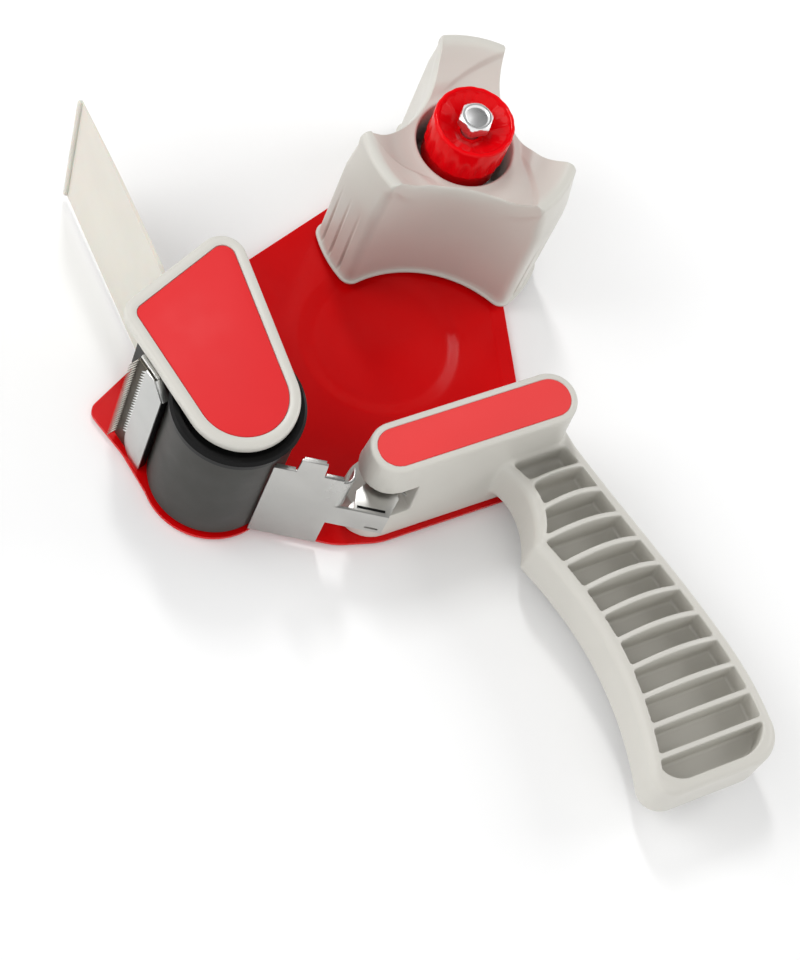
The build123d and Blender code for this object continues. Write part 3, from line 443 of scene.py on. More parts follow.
def plate_triangles(outline, holes):
    """Points and triangles of the flat plate, dense along the dish's slope and the crease."""
    points = list(outline)
    edges = [(k, (k + 1) % len(outline)) for k in range(len(outline))]

    def add_loop(centre, radius, steps):
        start = len(points)
        for k in range(steps):
            a = 2 * pi * k / steps
            points.append(Vector((centre[0] + radius * cos(a), centre[1] + radius * sin(a))))
        edges.extend((start + k, start + (k + 1) % steps) for k in range(steps))

    for k in range(SLOPE_RINGS):
        radius = mixed(DISH_SLOPE_IN - 0.5, DISH_SLOPE_OUT + 0.5, k / (SLOPE_RINGS - 1))
        add_loop(DISH_CENTRE, radius, 180)
    for centre, radius in holes:
        add_loop(centre, radius, 32)
    crease_run = (CREASE_HIGH - CREASE_LOW).length - FOLD_STOP - 2.0
    for past in (-1.0, -0.6, -0.2, 0.2, 0.6, 1.0):
        start = CREASE_LOW + EDGE_OUT * past
        for k in range(CREASE_STEPS):
            points.append(start + EDGE_RUN * (1.0 + crease_run * k / (CREASE_STEPS - 1)))
    found = delaunay_2d_cdt(points, edges, [], 0, 1e-4)
    flat, triangles = found[0], found[2]
    kept = []
    for triangle in triangles:
        middle = sum((flat[i] for i in triangle), Vector((0, 0))) / 3
        in_hole = any((middle - Vector(c)).length < r for c, r in holes)
        if inside(middle, outline) and not in_hole:
            kept.append(tuple(triangle))
    return flat, kept


def build_plate():
    """Painted sheet: both faces from the flat triangles, joined by walls and with soft edges."""
    level = box_mm("side_plate")[1].z
    flat, kept = plate_triangles(plate_outline(), plate_holes())
    count = len(flat)
    solid = [(p.x, p.y, plate_top(p, level)) for p in flat]
    solid += [(x, y, z - PLATE_SHEET) for x, y, z in solid]
    faces = kept + [tuple(count + i for i in reversed(t)) for t in kept]
    sides = [side for t in kept for side in ((t[0], t[1]), (t[1], t[2]), (t[2], t[0]))]
    known = set(sides)
    faces += [(b, a, count + a, count + b) for a, b in sides if (b, a) not in known]
    mesh = mesh_from("plate_shell", solid, faces)
    bm = bmesh.new()
    bm.from_mesh(mesh)
    loose = [v for v in bm.verts if not v.link_faces]
    bmesh.ops.delete(bm, geom=loose, context="VERTS")
    break_edges(bm, 70, PLATE_EDGE_R, segments=3)
    bm.to_mesh(mesh)
    bm.free()
    new_piece("plate_shell", mesh, "frame", RED_PAINT, ("side_plate",), 40.0)


build_plate()

# ------------------------------------------------------------------ tape hub

LOBE_ANGLES = (63, 183, 303)
LOBE_R = 37.6
WAIST_R = 18.6
LOBE_HALF_ANGLE = 17.5
LOBE_CORNER_R = 3.4
ARC_STEPS = 34
CORNER_STEPS = 12
TAPER_START = 46.0
TAPER = tan(radians(8.0))
HOLLOW_TAPER = 0.15
FACE = 54.5
FACE_RISE = 1.4
LOBE_RISE = 6.6
FACE_STEPS = 44
WELL_R = 15.6
WELL_LIP = 0.7
WELL_FLOOR = 31.0
WELL_SHEET = 3.0
BUSH_R = 8.0
HUB_WALL = 2.2
HOLLOW_WALL = 1.2
FOOT_FLANGE = 0.85
FOOT_TOP = 1.5
SIDE_LEVELS = 20
SHOULDER_STEPS = 9
GROOVE_TURNS = (-8.5, 0.0, 8.5)
GROOVE_DEPTH = 1.0
GROOVE_REACH = 36.5
LEDGE_CENTRE = Vector((17.1, -7.3))
LEDGE_R = 30.3
LEDGE_STEP = 1.2


def hub_ring(inset, hollow_inset=None):
    """Lobed outline moved inwards: (x, y, how hollow 0 to 1, angle off the lobe's middle)."""
    hollow_inset = inset if hollow_inset is None else hollow_inset
    half = radians(60 - LOBE_HALF_ANGLE)
    centre = (LOBE_R ** 2 - WAIST_R ** 2) / (2 * (LOBE_R * cos(half) - WAIST_R))
    corner = max(0.4, LOBE_CORNER_R - inset)
    lobe_r = LOBE_R - inset
    hollow_r = centre - WAIST_R + hollow_inset
    reach = lobe_r - corner
    turn = acos((reach ** 2 + centre ** 2 - (hollow_r + corner) ** 2) / (2 * reach * centre))
    arc_end = radians(60) - turn
    corner_at = Vector((cos(arc_end), sin(arc_end))) * reach
    hollow_at = Vector((cos(radians(60)), sin(radians(60)))) * centre
    to_hollow = hollow_at - corner_at
    corner_end = atan2(to_hollow.y, to_hollow.x)
    sixth = []
    for k in range(ARC_STEPS):
        a = arc_end * k / ARC_STEPS
        sixth.append((lobe_r * cos(a), lobe_r * sin(a), 0.0))
    for k in range(CORNER_STEPS):
        t = k / CORNER_STEPS
        a = mixed(arc_end, corner_end, t)
        spot = corner_at + Vector((cos(a), sin(a))) * corner
        sixth.append((spot.x, spot.y, 0.25 * t))
    hollow_start = atan2(-to_hollow.y, -to_hollow.x)
    if hollow_start < 0:
        hollow_start += 2 * pi
    for k in range(ARC_STEPS + 1):
        t = k / ARC_STEPS
        a = mixed(hollow_start, radians(240), t)
        spot = hollow_at + Vector((cos(a), sin(a))) * hollow_r
        sixth.append((spot.x, spot.y, 0.25 + 0.75 * smoothstep(0, 1, min(1.0, t * 1.6))))
    mirrored = [(x, -y, w) for x, y, w in sixth]
    third = list(reversed(mirrored[1:])) + sixth[:-1]
    whole = []
    for lobe in LOBE_ANGLES:
        c, s = cos(radians(lobe)), sin(radians(lobe))
        for x, y, w in third:
            off = atan2(y, x) * 180 / pi
            whole.append((x * c - y * s, x * s + y * c, w, off))
    return whole


def hub_top(x, y):
    """Height of the dished top with its three spiral ledges."""
    r = hypot(x, y)
    theta = (atan2(y, x) * 180 / pi) % 360
    lobe = min(LOBE_ANGLES, key=lambda angle: abs((theta - angle + 180) % 360 - 180))
    z = FACE + FACE_RISE * smoothstep(17.5, 27.0, r) + LOBE_RISE * smoothstep(22.0, 34.5, r) ** 1.5
    turn = radians(lobe - LOBE_ANGLES[0])
    local = Vector((x * cos(turn) + y * sin(turn), -x * sin(turn) + y * cos(turn)))
    past = (local - LEDGE_CENTRE).length - LEDGE_R
    fade = smoothstep(17.5, 22.0, r) * (1 - smoothstep(31.0, 35.0, r))
    return z + LEDGE_STEP * smoothstep(-0.7, 0.7, past) * fade


def groove_depth(off, base, z):
    """Depth of the lobe's grooves, which start over the foot and run out upwards."""
    fade = smoothstep(base + 2.0, base + 4.0, z) * max(0.0, 1 - (z - base) / GROOVE_REACH)
    depth = 0.0
    for turn in GROOVE_TURNS:
        away = abs(off - turn) * pi / 180 * LOBE_R
        depth += GROOVE_DEPTH * fade * (1 - smoothstep(0.15, 0.75, away))
    return depth


def hub_underside(base):
    """Rings from the well's floor down the bore, then round the two hollows under it."""
    inner = [(x, y) for x, y, _, _ in hub_ring(HUB_WALL, HOLLOW_WALL)]
    around = [atan2(y, x) for x, y in inner]
    below_floor = WELL_FLOOR - WELL_SHEET
    ceiling = FACE - HUB_WALL - 1.0
    rings = []
    for radius, z in (
        (WELL_R, WELL_FLOOR), (BUSH_R, WELL_FLOOR), (BUSH_R, base), (BUSH_R + HUB_WALL, base),
        (BUSH_R + HUB_WALL, below_floor), (WELL_R, below_floor), (WELL_R, base),
    ):
        rings.append([(radius * cos(a), radius * sin(a), z) for a in around])
    well_wall = [min(WELL_R + HUB_WALL, hypot(x, y) - 0.1) for x, y in inner]
    for z in (base, ceiling):
        rings.append([(r * cos(a), r * sin(a), z) for r, a in zip(well_wall, around)])
    rings.append([(x, y, ceiling) for x, y in inner])
    rings.append([(x, y, base) for x, y in inner])
    return rings


def hub_sides(base, edge_heights):
    """Rings of the grooved, drafted sides, from the foot up to the shoulder's lower edge."""
    rings = []
    for k in range(1, SIDE_LEVELS):
        ring = []
        for (x, y, w, off), z_edge in zip(hub_ring(0.0), edge_heights):
            z = mixed(base + FOOT_TOP, z_edge, k / SIDE_LEVELS)
            inset = TAPER * max(0.0, z - TAPER_START) * mixed(1.0, HOLLOW_TAPER, w)
            r = hypot(x, y)
            scale = (r - groove_depth(off, base, z) - inset) / r
            ring.append((x * scale, y * scale, z))
        rings.append(ring)
    return rings


def hub_shoulder(crest, step):
    """One ring of the rounding: small on the lobes, long and soft over the hollow sides."""
    inset = TAPER * max(0.0, crest - TAPER_START)
    a = pi / 2 * step / SHOULDER_STEPS
    ring = []
    for x, y, w, _ in hub_ring(inset, HOLLOW_TAPER * inset):
        wide = mixed(1.1, 1.7, w)
        tall = mixed(1.5, 7.5, w ** 0.7)
        r = hypot(x, y)
        top_r = r - wide
        z = min(crest, hub_top(x / r * top_r, y / r * top_r)) - tall * (1 - sin(a))
        lean = wide * (1 - cos(a))
        out = TAPER * max(0.0, crest - z) * mixed(1.0, HOLLOW_TAPER, w)
        ring.append(((r - lean + out) * x / r, (r - lean + out) * y / r, z))
    return ring


def hub_face(crest, edge):
    """Rings of the dished face, from the shoulder's upper edge in to the rim of the well."""
    rings = []
    for k in range(1, FACE_STEPS):
        ring = []
        for x, y, _ in edge:
            r = hypot(x, y)
            inward = mixed(r, WELL_R + WELL_LIP, k / FACE_STEPS)
            px, py = x / r * inward, y / r * inward
            ring.append((px, py, min(crest, hub_top(px, py))))
        rings.append(ring)
    for r, z in ((WELL_R + WELL_LIP, FACE), (WELL_R + 0.2, FACE - 0.2), (WELL_R, FACE - WELL_LIP)):
        rings.append([(x / hypot(x, y) * r, y / hypot(x, y) * r, z) for x, y, _ in edge])
    return rings


def build_hub():
    """One closed skin: underside, flanged foot, sides, shoulder and face, back to the well."""
    low, high = box_mm("hub")
    base, crest = low.z, high.z
    rings = hub_underside(base)
    for extra, rise in (
        (FOOT_FLANGE - 0.25, 0.0), (FOOT_FLANGE, 0.25), (FOOT_FLANGE, 0.75),
        (FOOT_FLANGE - 0.25, 1.0), (0.3, 1.15), (0.0, FOOT_TOP),
    ):
        rings.append([(x, y, base + rise) for x, y, _, _ in hub_ring(-extra)])
    shoulder = [hub_shoulder(crest, step) for step in range(SHOULDER_STEPS + 1)]
    rings += hub_sides(base, [z for _, _, z in shoulder[0]])
    rings += shoulder
    rings += hub_face(crest, shoulder[-1])
    mesh = mesh_from("hub_shell", *skin(rings, closed_profile=True))
    new_piece("hub_shell", mesh, "hub", WARM_WHITE, ("hub",), 50.0)


build_hub()

# ------------------------------------------------------------------ tension knob and bolt

KNOB_R = 13.1
KNOB_SKIRT_R = 12.4
KNOB_SKIRT_TOP = 52.4
KNOB_RIM = 1.6
KNOB_EDGE_R = 0.85
KNOB_BOLT_BORE_R = 3.25
KNOB_AXLE_BORE_R = 5.3
KNOB_WEB = 1.4
FLUTES = 18
FLUTE_DEPTH = 0.6
RECESS_FLOOR = 61.5
RECESS_FOOT_R = 4.4
RECESS_SIDES = 8
BOLT_FLATS = 10.0
BOLT_SHANK_R = 3.0
BOLT_UNDER_HEAD = 66.0
BOLT_TURN = radians(12)
BOLT_STEPS = 180
THREAD_DEPTH = 0.22
THREAD_STEP = 0.5


def fluted_ring(radius, z, steps):
    """Ring of the knob's outside or bore; the flutes cut only the outside, less near its top."""
    fluted = smoothstep(53.2, 54.4, z) * mixed(1.0, 0.22, smoothstep(56.5, 63.5, z))
    ring = []
    for k in range(steps):
        a = 2 * pi * k / steps
        wave = (0.5 + 0.5 * cos(FLUTES * a)) ** 1.6
        r = radius - FLUTE_DEPTH * fluted * wave if radius > 10.0 else radius
        ring.append((r * cos(a), r * sin(a), z))
    return ring


def recess_ring(rim_r, rim_z, t, steps):
    """Ring of the faceted recess, round at its rim and flat-sided further down."""
    sector = 2 * pi / RECESS_SIDES
    round_r = mixed(rim_r, RECESS_FOOT_R, t)
    z = mixed(rim_z, RECESS_FLOOR, t)
    ring = []
    for k in range(steps):
        a = 2 * pi * k / steps + sector / 2
        local = (a % sector) - sector / 2
        flat_r = round_r * cos(sector / 2) / cos(local)
        r = mixed(round_r, flat_r, smoothstep(0.0, 0.5, t))
        ring.append((r * cos(a - sector / 2), r * sin(a - sector / 2), z))
    return ring


def build_knob():
    """One closed skin: bore, skirt, fluted side, rounded rim and faceted recess."""
    low, high = box_mm("tension_knob")
    bottom, top = low.z, high.z
    steps = FLUTES * 20
    web_under = RECESS_FLOOR - KNOB_WEB
    side_r = KNOB_R - 0.1
    rim_in = KNOB_R - KNOB_RIM
    profile = [(KNOB_BOLT_BORE_R, RECESS_FLOOR), (KNOB_BOLT_BORE_R, web_under)]
    profile += [(KNOB_AXLE_BORE_R, web_under), (KNOB_AXLE_BORE_R, bottom)]
    profile += [(KNOB_SKIRT_R - 0.5, bottom), (KNOB_SKIRT_R, bottom + 0.5)]
    profile += [(KNOB_SKIRT_R, KNOB_SKIRT_TOP), (KNOB_R - 0.5, KNOB_SKIRT_TOP + 0.9)]
    profile += [(side_r, mixed(53.8, top - 1.2, k / 10)) for k in range(11)]
    edge_r, edge_z = side_r - KNOB_EDGE_R, top - KNOB_EDGE_R
    for k in range(1, 8):
        a = radians(90) * k / 7
        profile.append((edge_r + KNOB_EDGE_R * cos(a), edge_z + KNOB_EDGE_R * sin(a)))
    profile += [(rim_in + 0.55, top), (rim_in + 0.2, top - 0.12), (rim_in, top - 0.45)]
    rings = [fluted_ring(radius, z, steps) for radius, z in profile]
    rings += [recess_ring(rim_in - 0.2, top - 0.9, t, steps) for t in (0.06, 0.5, 1.0)]
    mesh = mesh_from("knob_shell", *skin(rings, closed_profile=True))
    new_piece("knob_shell", mesh, "knob", RED_KNOB, ("tension_knob",), 22.0)


def hexagon_ring(radius_limit, z):
    """Ring of the bolt's head, its six corners cut back to a radius."""
    ring = []
    for k in range(BOLT_STEPS):
        a = 2 * pi * k / BOLT_STEPS
        local = ((a + BOLT_TURN) % (pi / 3)) - pi / 6
        r = min(BOLT_FLATS / 2 / cos(local), radius_limit)
        ring.append((r * cos(a), r * sin(a), z))
    return ring


def build_bolt():
    """Hexagon bolt with a dished head and plain rings in place of its thread."""
    low, high = box_mm("retaining_bolt")
    top = high.z
    under = BOLT_UNDER_HEAD
    thread_from, thread_top = low.z + 0.5, under - 3.0
    shank = [(BOLT_SHANK_R - 0.5, low.z), (BOLT_SHANK_R, thread_from)]
    for k in range(int((thread_top - low.z - 0.5) / THREAD_STEP)):
        depth = THREAD_DEPTH if k % 2 else 0.0
        shank.append((BOLT_SHANK_R - depth, thread_from + THREAD_STEP * (k + 1)))
    shank += [(BOLT_SHANK_R, thread_top), (BOLT_SHANK_R, under)]
    head = [(5.0, under), (5.5, under + 0.3), (5.62, under + 0.7), (5.62, top - 0.9)]
    head += [(5.3, top - 0.55), (4.9, top - 0.2)]
    dish = [(4.6, top), (4.05, top), (3.75, top - 0.25), (3.5, top - 0.55)]
    dish += [(2.2, top - 0.42), (0.8, top - 0.34)]
    rings = [circle_ring((0, 0), radius, z, BOLT_STEPS) for radius, z in shank]
    rings += [hexagon_ring(radius, z) for radius, z in head]
    rings += [circle_ring((0, 0), radius, z, BOLT_STEPS) for radius, z in dish]
    mesh = mesh_from("bolt_shell", *skin(rings))
    new_piece("bolt_shell", mesh, "frame", BOLT_STEEL, ("retaining_bolt",), 22.0)


build_knob()
build_bolt()

# ------------------------------------------------------------------ front cap

CAP_CORNERS = ((-104.0, -60.5, 17.6), (-91.2, -16.2, 7.4), (-120.4, -27.0, 6.8))
CAP_BORDER = 3.5
INLAY_GAP = 0.12
INLAY_SUNK = 0.16


def inlay(corners, inset, heights, name, node, material):
    """Flat red inlay with a softly rounded edge."""
    foot, top = heights
    levels = [(inset, foot), (inset, top - 0.22), (inset + 0.1, top - 0.08), (inset + 0.35, top)]
    rings = [capsule_ring(corners, edge, z) for edge, z in levels]
    mesh = mesh_from(name, *skin(rings))
    new_piece(name, mesh, "frame", material, (node,), 40.0)


def build_cap():
    """Cap with a rounded rim and a shallow seat that holds its red inlay."""
    low, high = box_mm("front_cap")
    seat = box_mm("front_cap_insert")[0].z
    under, top = low.z, high.z
    levels = [(0.6, under), (0.15, under + 0.2), (0.0, under + 0.7), (0.0, top - 1.1)]
    levels += [(0.08, top - 0.7), (0.3, top - 0.36), (0.66, top - 0.12), (1.1, top)]
    levels += [(3.2, top), (3.42, top - 0.1), (CAP_BORDER, top - 0.3), (CAP_BORDER, seat)]
    rings = [capsule_ring(CAP_CORNERS, inset, z) for inset, z in levels]
    mesh = mesh_from("cap_shell", *skin(rings))
    new_piece("cap_shell", mesh, "frame", WARM_WHITE, ("front_cap",), 40.0)
    # the cap's inlay takes the copy of the red that is darkened with painted shade
    heights = (seat, top - INLAY_SUNK)
    inlay(CAP_CORNERS, CAP_BORDER + INLAY_GAP, heights, "cap_inlay", "front_cap_insert", CAP_RED_SHADED)


build_cap()

# ------------------------------------------------------------------ handle

ARM_CENTRE = Vector((-34.5, -86.4))
ARM_HALF = 26.5
ARM_TOP_R = 8.6
ARM_INLAY_R = 6.4
ARM_EDGE_R = 1.0
ARM_TOP = 45.0
RIB_FIRST_Y = -104.2
RIB_PITCH = 9.5
RIB_COUNT = 11
GRIP_TOP = 28.0
GRIP_FLOOR = 19.0
GRIP_FROM_Y = -98.0
RIB_CROWN = 4.2
HANDLE_VOXEL = 0.42
HANDLE_KEPT = 0.25


def pocket_sides(y):
    """Left and right end of the ribs at a height along the grip."""
    t = (RIB_FIRST_Y - y) / (RIB_PITCH * (RIB_COUNT - 1))
    right = mixed(-3.2, 16.5, smoothstep(-0.35, 1.05, t))
    notch = 5.5 * exp(-((t - 0.2) / 0.09) ** 2)
    left = mixed(-18.5, -16.2, min(1.0, t * 1.6)) - notch
    return left, right


def crown_at(x, y):
    """How far a rib's top edge rises over the rim."""
    left, right = pocket_sides(y)
    if not left < x < right or y > RIB_FIRST_Y + 3.0:
        return 0.0
    t = (RIB_FIRST_Y - y) / (RIB_PITCH * (RIB_COUNT - 1))
    tall = RIB_CROWN * (1 - smoothstep(0.62, 0.98, t)) * smoothstep(-0.12, 0.08, t)
    across = (2 * x - left - right) / (right - left)
    return tall * (1 - across * across)


def blend_weight(x, y, z):
    """Where the arm runs into the grip with a large soft fillet."""
    near = smoothstep(-38.0, -30.0, x) * (1 - smoothstep(-6.0, 0.0, x))
    band = smoothstep(-112.0, -104.0, y) * (1 - smoothstep(-94.0, -90.0, y))
    return near * band * smoothstep(4.0, 10.0, z) * (1 - smoothstep(37.0, 41.0, z))


def rounded_arm_edge(x, y, z):
    """Point moved in to the rounded upper edge of the arm, if it lies outside that edge."""
    along = min(ARM_HALF, max(-ARM_HALF, x - ARM_CENTRE.x))
    spine = Vector((ARM_CENTRE.x + along, ARM_CENTRE.y))
    away = Vector((x, y)) - spine
    past = away.length - (ARM_TOP_R - ARM_EDGE_R)
    over = z - (ARM_TOP - ARM_EDGE_R)
    if past <= 0 or over <= 0 or hypot(past, over) <= ARM_EDGE_R:
        return x, y, z
    scale = ARM_EDGE_R / hypot(past, over)
    x, y = spine + away.normalized() * (ARM_TOP_R - ARM_EDGE_R + past * scale)
    return x, y, ARM_TOP - ARM_EDGE_R + over * scale


def build_handle():
    """CAD handle as an even mesh, with its corner blended, its ribs crowned and its edge rounded."""
    helper = link("handle_helper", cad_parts["handle"].data.copy())
    remesh = helper.modifiers.new("remesh", "REMESH")
    remesh.mode = "VOXEL"
    remesh.voxel_size = HANDLE_VOXEL * MM
    soften = helper.modifiers.new("soften", "SMOOTH")
    soften.factor = 0.5
    soften.iterations = 2
    helper = link("handle_helper", evaluated(helper))
    group = helper.vertex_groups.new(name="blend")
    for vertex in helper.data.vertices:
        weight = blend_weight(*(vertex.co / MM))
        if weight > 0.01:
            group.add([vertex.index], weight, "REPLACE")
    blend = helper.modifiers.new("blend", "SMOOTH")
    blend.factor = 0.5
    blend.iterations = 80
    blend.vertex_group = "blend"
    mesh = evaluated(helper)
    for vertex in mesh.vertices:
        x, y, z = vertex.co / MM
        if z > GRIP_FLOOR and y < GRIP_FROM_Y:
            z += crown_at(x, y) * smoothstep(GRIP_FLOOR, GRIP_TOP, z)
        if z > ARM_TOP - 5.0:
            x, y, z = rounded_arm_edge(x, y, z)
        vertex.co = Vector((x, y, z)) * MM
    helper = link("handle_helper", mesh)
    thin = helper.modifiers.new("thin", "DECIMATE")
    thin.ratio = HANDLE_KEPT
    mesh = evaluated(helper)
    new_piece("handle_shell", mesh, "frame", WARM_WHITE, ("handle",), 60.0)
    ends = [(ARM_CENTRE.x + s * ARM_HALF, ARM_CENTRE.y, ARM_INLAY_R) for s in (-1, 1)]
    low, high = box_mm("handle_insert")
    inlay(ends, 0.0, (low.z, high.z), "handle_inlay", "handle_insert", RED_INLAY)


build_handle()

# ------------------------------------------------------------------ blade and guard

BLADE_FOOT = Vector((-124.75, -52.0))
BLADE_TIP = Vector((-128.0, -35.0))
BLADE_SHEET = 0.6
BLADE_FROM = 4.8
BLADE_EDGE = 14.0
TOOTH_COUNT = 28
TOOTH_LENGTH = 3.2
TOOTH_DROP = 1.9
GUARD_SHEET = 0.6
GUARD_WIDTH = 9.3
GUARD_SIDE_FROM = 10.6
GUARD_TEETH = 24
GUARD_TOOTH = 1.7
GUARD_BELOW = 0.9
GUARD_ABOVE = 0.8
GUARD_FLAT = 3.0
NEEDLE_ROOTED = 0.3
RUN = (BLADE_TIP - BLADE_FOOT).normalized()
BACK = Vector((RUN.y, -RUN.x))


def on_sheet(s, n):
    """Place on the plane of the blade and the guard: s along it, n behind it."""
    return BLADE_FOOT + RUN * s + BACK * n


def plate_mesh(name, outline, near, far, edge):
    """Flat sheet from an (along, height) outline, thickened backwards, with broken edges."""
    rings = []
    for n in (near, far):
        rings.append([(*on_sheet(s, n), z) for s, z in outline])
    mesh = mesh_from(name, *skin(rings))
    bm = bmesh.new()
    bm.from_mesh(mesh)
    break_edges(bm, 60, edge)
    bmesh.ops.triangulate(bm, faces=bm.faces)
    bm.to_mesh(mesh)
    bm.free()
    return mesh


def needle(root, tip, thick, tall):
    """Tapered tooth with a rectangular section, from its root to its fine tip."""
    rings = []
    for step in range(6):
        t = step / 5
        x, y = mixed(root[0], tip[0], t), mixed(root[1], tip[1], t)
        z = root[2] + (tip[2] - root[2]) * (0.45 * t + 0.55 * t * t)
        half_y = mixed(thick, 0.08, t) / 2
        half_z = (tall * (1 - t) ** 0.7 + 0.1) / 2
        rings.append([
            (x, y - half_y, z - half_z), (x, y + half_y, z - half_z),
            (x, y + half_y, z + half_z), (x, y - half_y, z + half_z),
        ])
    return skin(rings)


def build_blade():
    """Blade strip whose needle teeth are bent outwards, away from the roller; the strip's dark colour
    is painted shade.
    """
    low, high = box_mm("blade")
    corners = [(BLADE_FROM, low.z), (BLADE_EDGE, low.z), (BLADE_EDGE, high.z), (BLADE_FROM, high.z)]
    mesh = plate_mesh("blade_band", corners, 0.0, BLADE_SHEET, 0.08)
    new_piece("blade_band", mesh, "frame", SHADED_BLADE_STEEL, ("blade",), 30.0)
    edge = on_sheet(BLADE_EDGE - NEEDLE_ROOTED, BLADE_SHEET / 2)
    pitch = (high.z - low.z - TOOTH_DROP) / TOOTH_COUNT
    needles = []
    for tooth in range(TOOTH_COUNT):
        z = low.z + TOOTH_DROP + (tooth + 0.5) * pitch
        tip = (edge.x - TOOTH_LENGTH, edge.y, z - TOOTH_DROP)
        needles.append(needle((edge.x, edge.y, z), tip, 0.6, 0.85))
    # the teeth's dark steel is painted shade on their shaded side
    mesh = mesh_from("blade_teeth", *joined(needles))
    new_piece("blade_teeth", mesh, "frame", SHADED_TOOTH_STEEL, (), 30.0)


def build_guard():
    """Bright guard in front of the blade: round lower corner, toothed side, folded slanted top."""
    low, high = box_mm("blade_guard")
    foot = low.z - GUARD_BELOW
    head = high.z + GUARD_ABOVE
    outline = [(0.0, foot + 1.2), (0.25, foot + 0.5), (0.7, foot + 0.12), (1.3, foot)]
    outline.append((GUARD_FLAT, foot))
    side_from = foot + GUARD_SIDE_FROM
    for k in range(1, 17):
        a = radians(90) * k / 16
        across = GUARD_FLAT + (GUARD_WIDTH - GUARD_FLAT) * sin(a)
        outline.append((across, foot + GUARD_SIDE_FROM * (1 - cos(a))))
    outline += [(GUARD_WIDTH, head), (5.5, head), (0.0, 49.0)]
    mesh = plate_mesh("guard_shell", outline, -GUARD_SHEET, 0.0, 0.1)
    new_piece("guard_shell", mesh, "frame", GUARD_STEEL, ("blade_guard",), 30.0)
    pitch = (high.z - side_from) / GUARD_TEETH
    needles = []
    for tooth in range(GUARD_TEETH):
        z = side_from + (tooth + 0.5) * pitch
        root = on_sheet(GUARD_WIDTH - NEEDLE_ROOTED, -GUARD_SHEET / 2)
        tip = on_sheet(GUARD_WIDTH + 0.6 * GUARD_TOOTH, -GUARD_SHEET / 2)
        needles.append(needle((*root, z), (tip.x - 0.6, tip.y, z - 0.5), 0.5, 0.9))
    mesh = mesh_from("guard_teeth", *joined(needles))
    new_piece("guard_teeth", mesh, "frame", GUARD_STEEL, (), 30.0)
    # folded edge along the slanted top, and a black strip of painted shade in the gap behind the inner
    # edge
    ear = [(-0.1, 48.2), (5.3, 53.2), (4.9, 53.9), (-0.5, 48.9)]
    mesh = plate_mesh("guard_ear", ear, 0.0, 2.2, 0.08)
    new_piece("guard_ear", mesh, "frame", GUARD_STEEL, (), 30.0)
    strip = [(0.2, foot + 1.0), (1.6, foot + 1.0), (1.6, 47.5), (0.2, 47.5)]
    mesh = plate_mesh("guard_shade_strip", strip, 0.05, 2.4, 0.1)
    new_piece("guard_shade_strip", mesh, "frame", BLACK_PLASTIC_AND_SHADE, (), 30.0)


build_blade()
build_guard()

# ------------------------------------------------------------------ wiper flap

FLAP_PIVOT = Vector((-109.3, -20.0))
FLAP_REACH_LOW = 45.8
FLAP_REACH_HIGH = 48.7
FLAP_ROOT = 1.3
FLAP_TIP = 0.45
FLAP_BEND = 0.9
BEAD_R = 1.75
BEAD_EDGE = 0.35
LIP_R = 0.95
FLAP_ROWS = 48
FLAP_COLUMNS = 20


def flap_reach(v):
    """How far the flap's free end reaches, v being 0 at its foot and 1 at its head."""
    return mixed(FLAP_REACH_LOW, FLAP_REACH_HIGH, v)


def flap_drift(t, v):
    """Sideways bend, t being 0 at the root and 1 at the free end."""
    return -FLAP_BEND * v * t * t * smoothstep(0.25, 1.0, t)


def flap_section(v, z):
    """Closed outline of the flap at one height, thinner towards its free end."""
    near, far = [], []
    for k in range(FLAP_ROWS + 1):
        t = k / FLAP_ROWS
        y = mixed(FLAP_PIVOT.y, flap_reach(v), t)
        x = FLAP_PIVOT.x + flap_drift(t, v)
        half = mixed(FLAP_ROOT, FLAP_TIP, t ** 1.3) / 2
        near.append((x - half, y, z))
        far.append((x + half, y, z))
    return near + list(reversed(far))


def build_flap():
    """Bent strip with a round bead in its holder and a round lip on its free end."""
    low, high = box_mm("wiper_flap")
    foot, head = low.z, high.z
    shares = [k / FLAP_COLUMNS for k in range(FLAP_COLUMNS + 1)]
    web = skin([flap_section(v, mixed(foot, head, v)) for v in shares])
    bead_levels = [(BEAD_R - BEAD_EDGE, foot), (BEAD_R, foot + BEAD_EDGE)]
    bead_levels += [(BEAD_R, head - BEAD_EDGE), (BEAD_R - BEAD_EDGE, head)]
    bead = skin([circle_ring(FLAP_PIVOT, radius, z, 40) for radius, z in bead_levels])
    lip = []
    for v in sorted([k / 14 for k in range(15)] + [0.004, 0.012, 0.988, 0.996]):
        end = min(1.0, min(v, 1 - v) * (head - foot) / LIP_R)
        radius = LIP_R * sqrt(max(0.03, 1 - (1 - end) ** 2))
        centre = (FLAP_PIVOT.x + flap_drift(1.0, v) - 0.45, flap_reach(v) - 0.2)
        lip.append(circle_ring(centre, radius, mixed(foot, head, v), 28))
    mesh = mesh_from("flap_web", *joined([web, bead, skin(lip)]))
    new_piece("flap_web", mesh, "flap", FLAP_PLASTIC, ("wiper_flap",), 40.0)


build_flap()

# ------------------------------------------------------------------ guide plate and brake spring

GUIDE_START = Vector((-100.5, -81.1))
GUIDE_ANGLE = radians(-31.4)
EAR_TOP = 29.5
# outline of a black strip that paints the shade in the slit at the bend of the upper ear
EAR_SHADE_OUTLINE = ((28.8, 0.95), (37.6, 0.95), (37.6, 1.75), (28.8, 1.75))
EAR_SHADE_HALF = 0.1


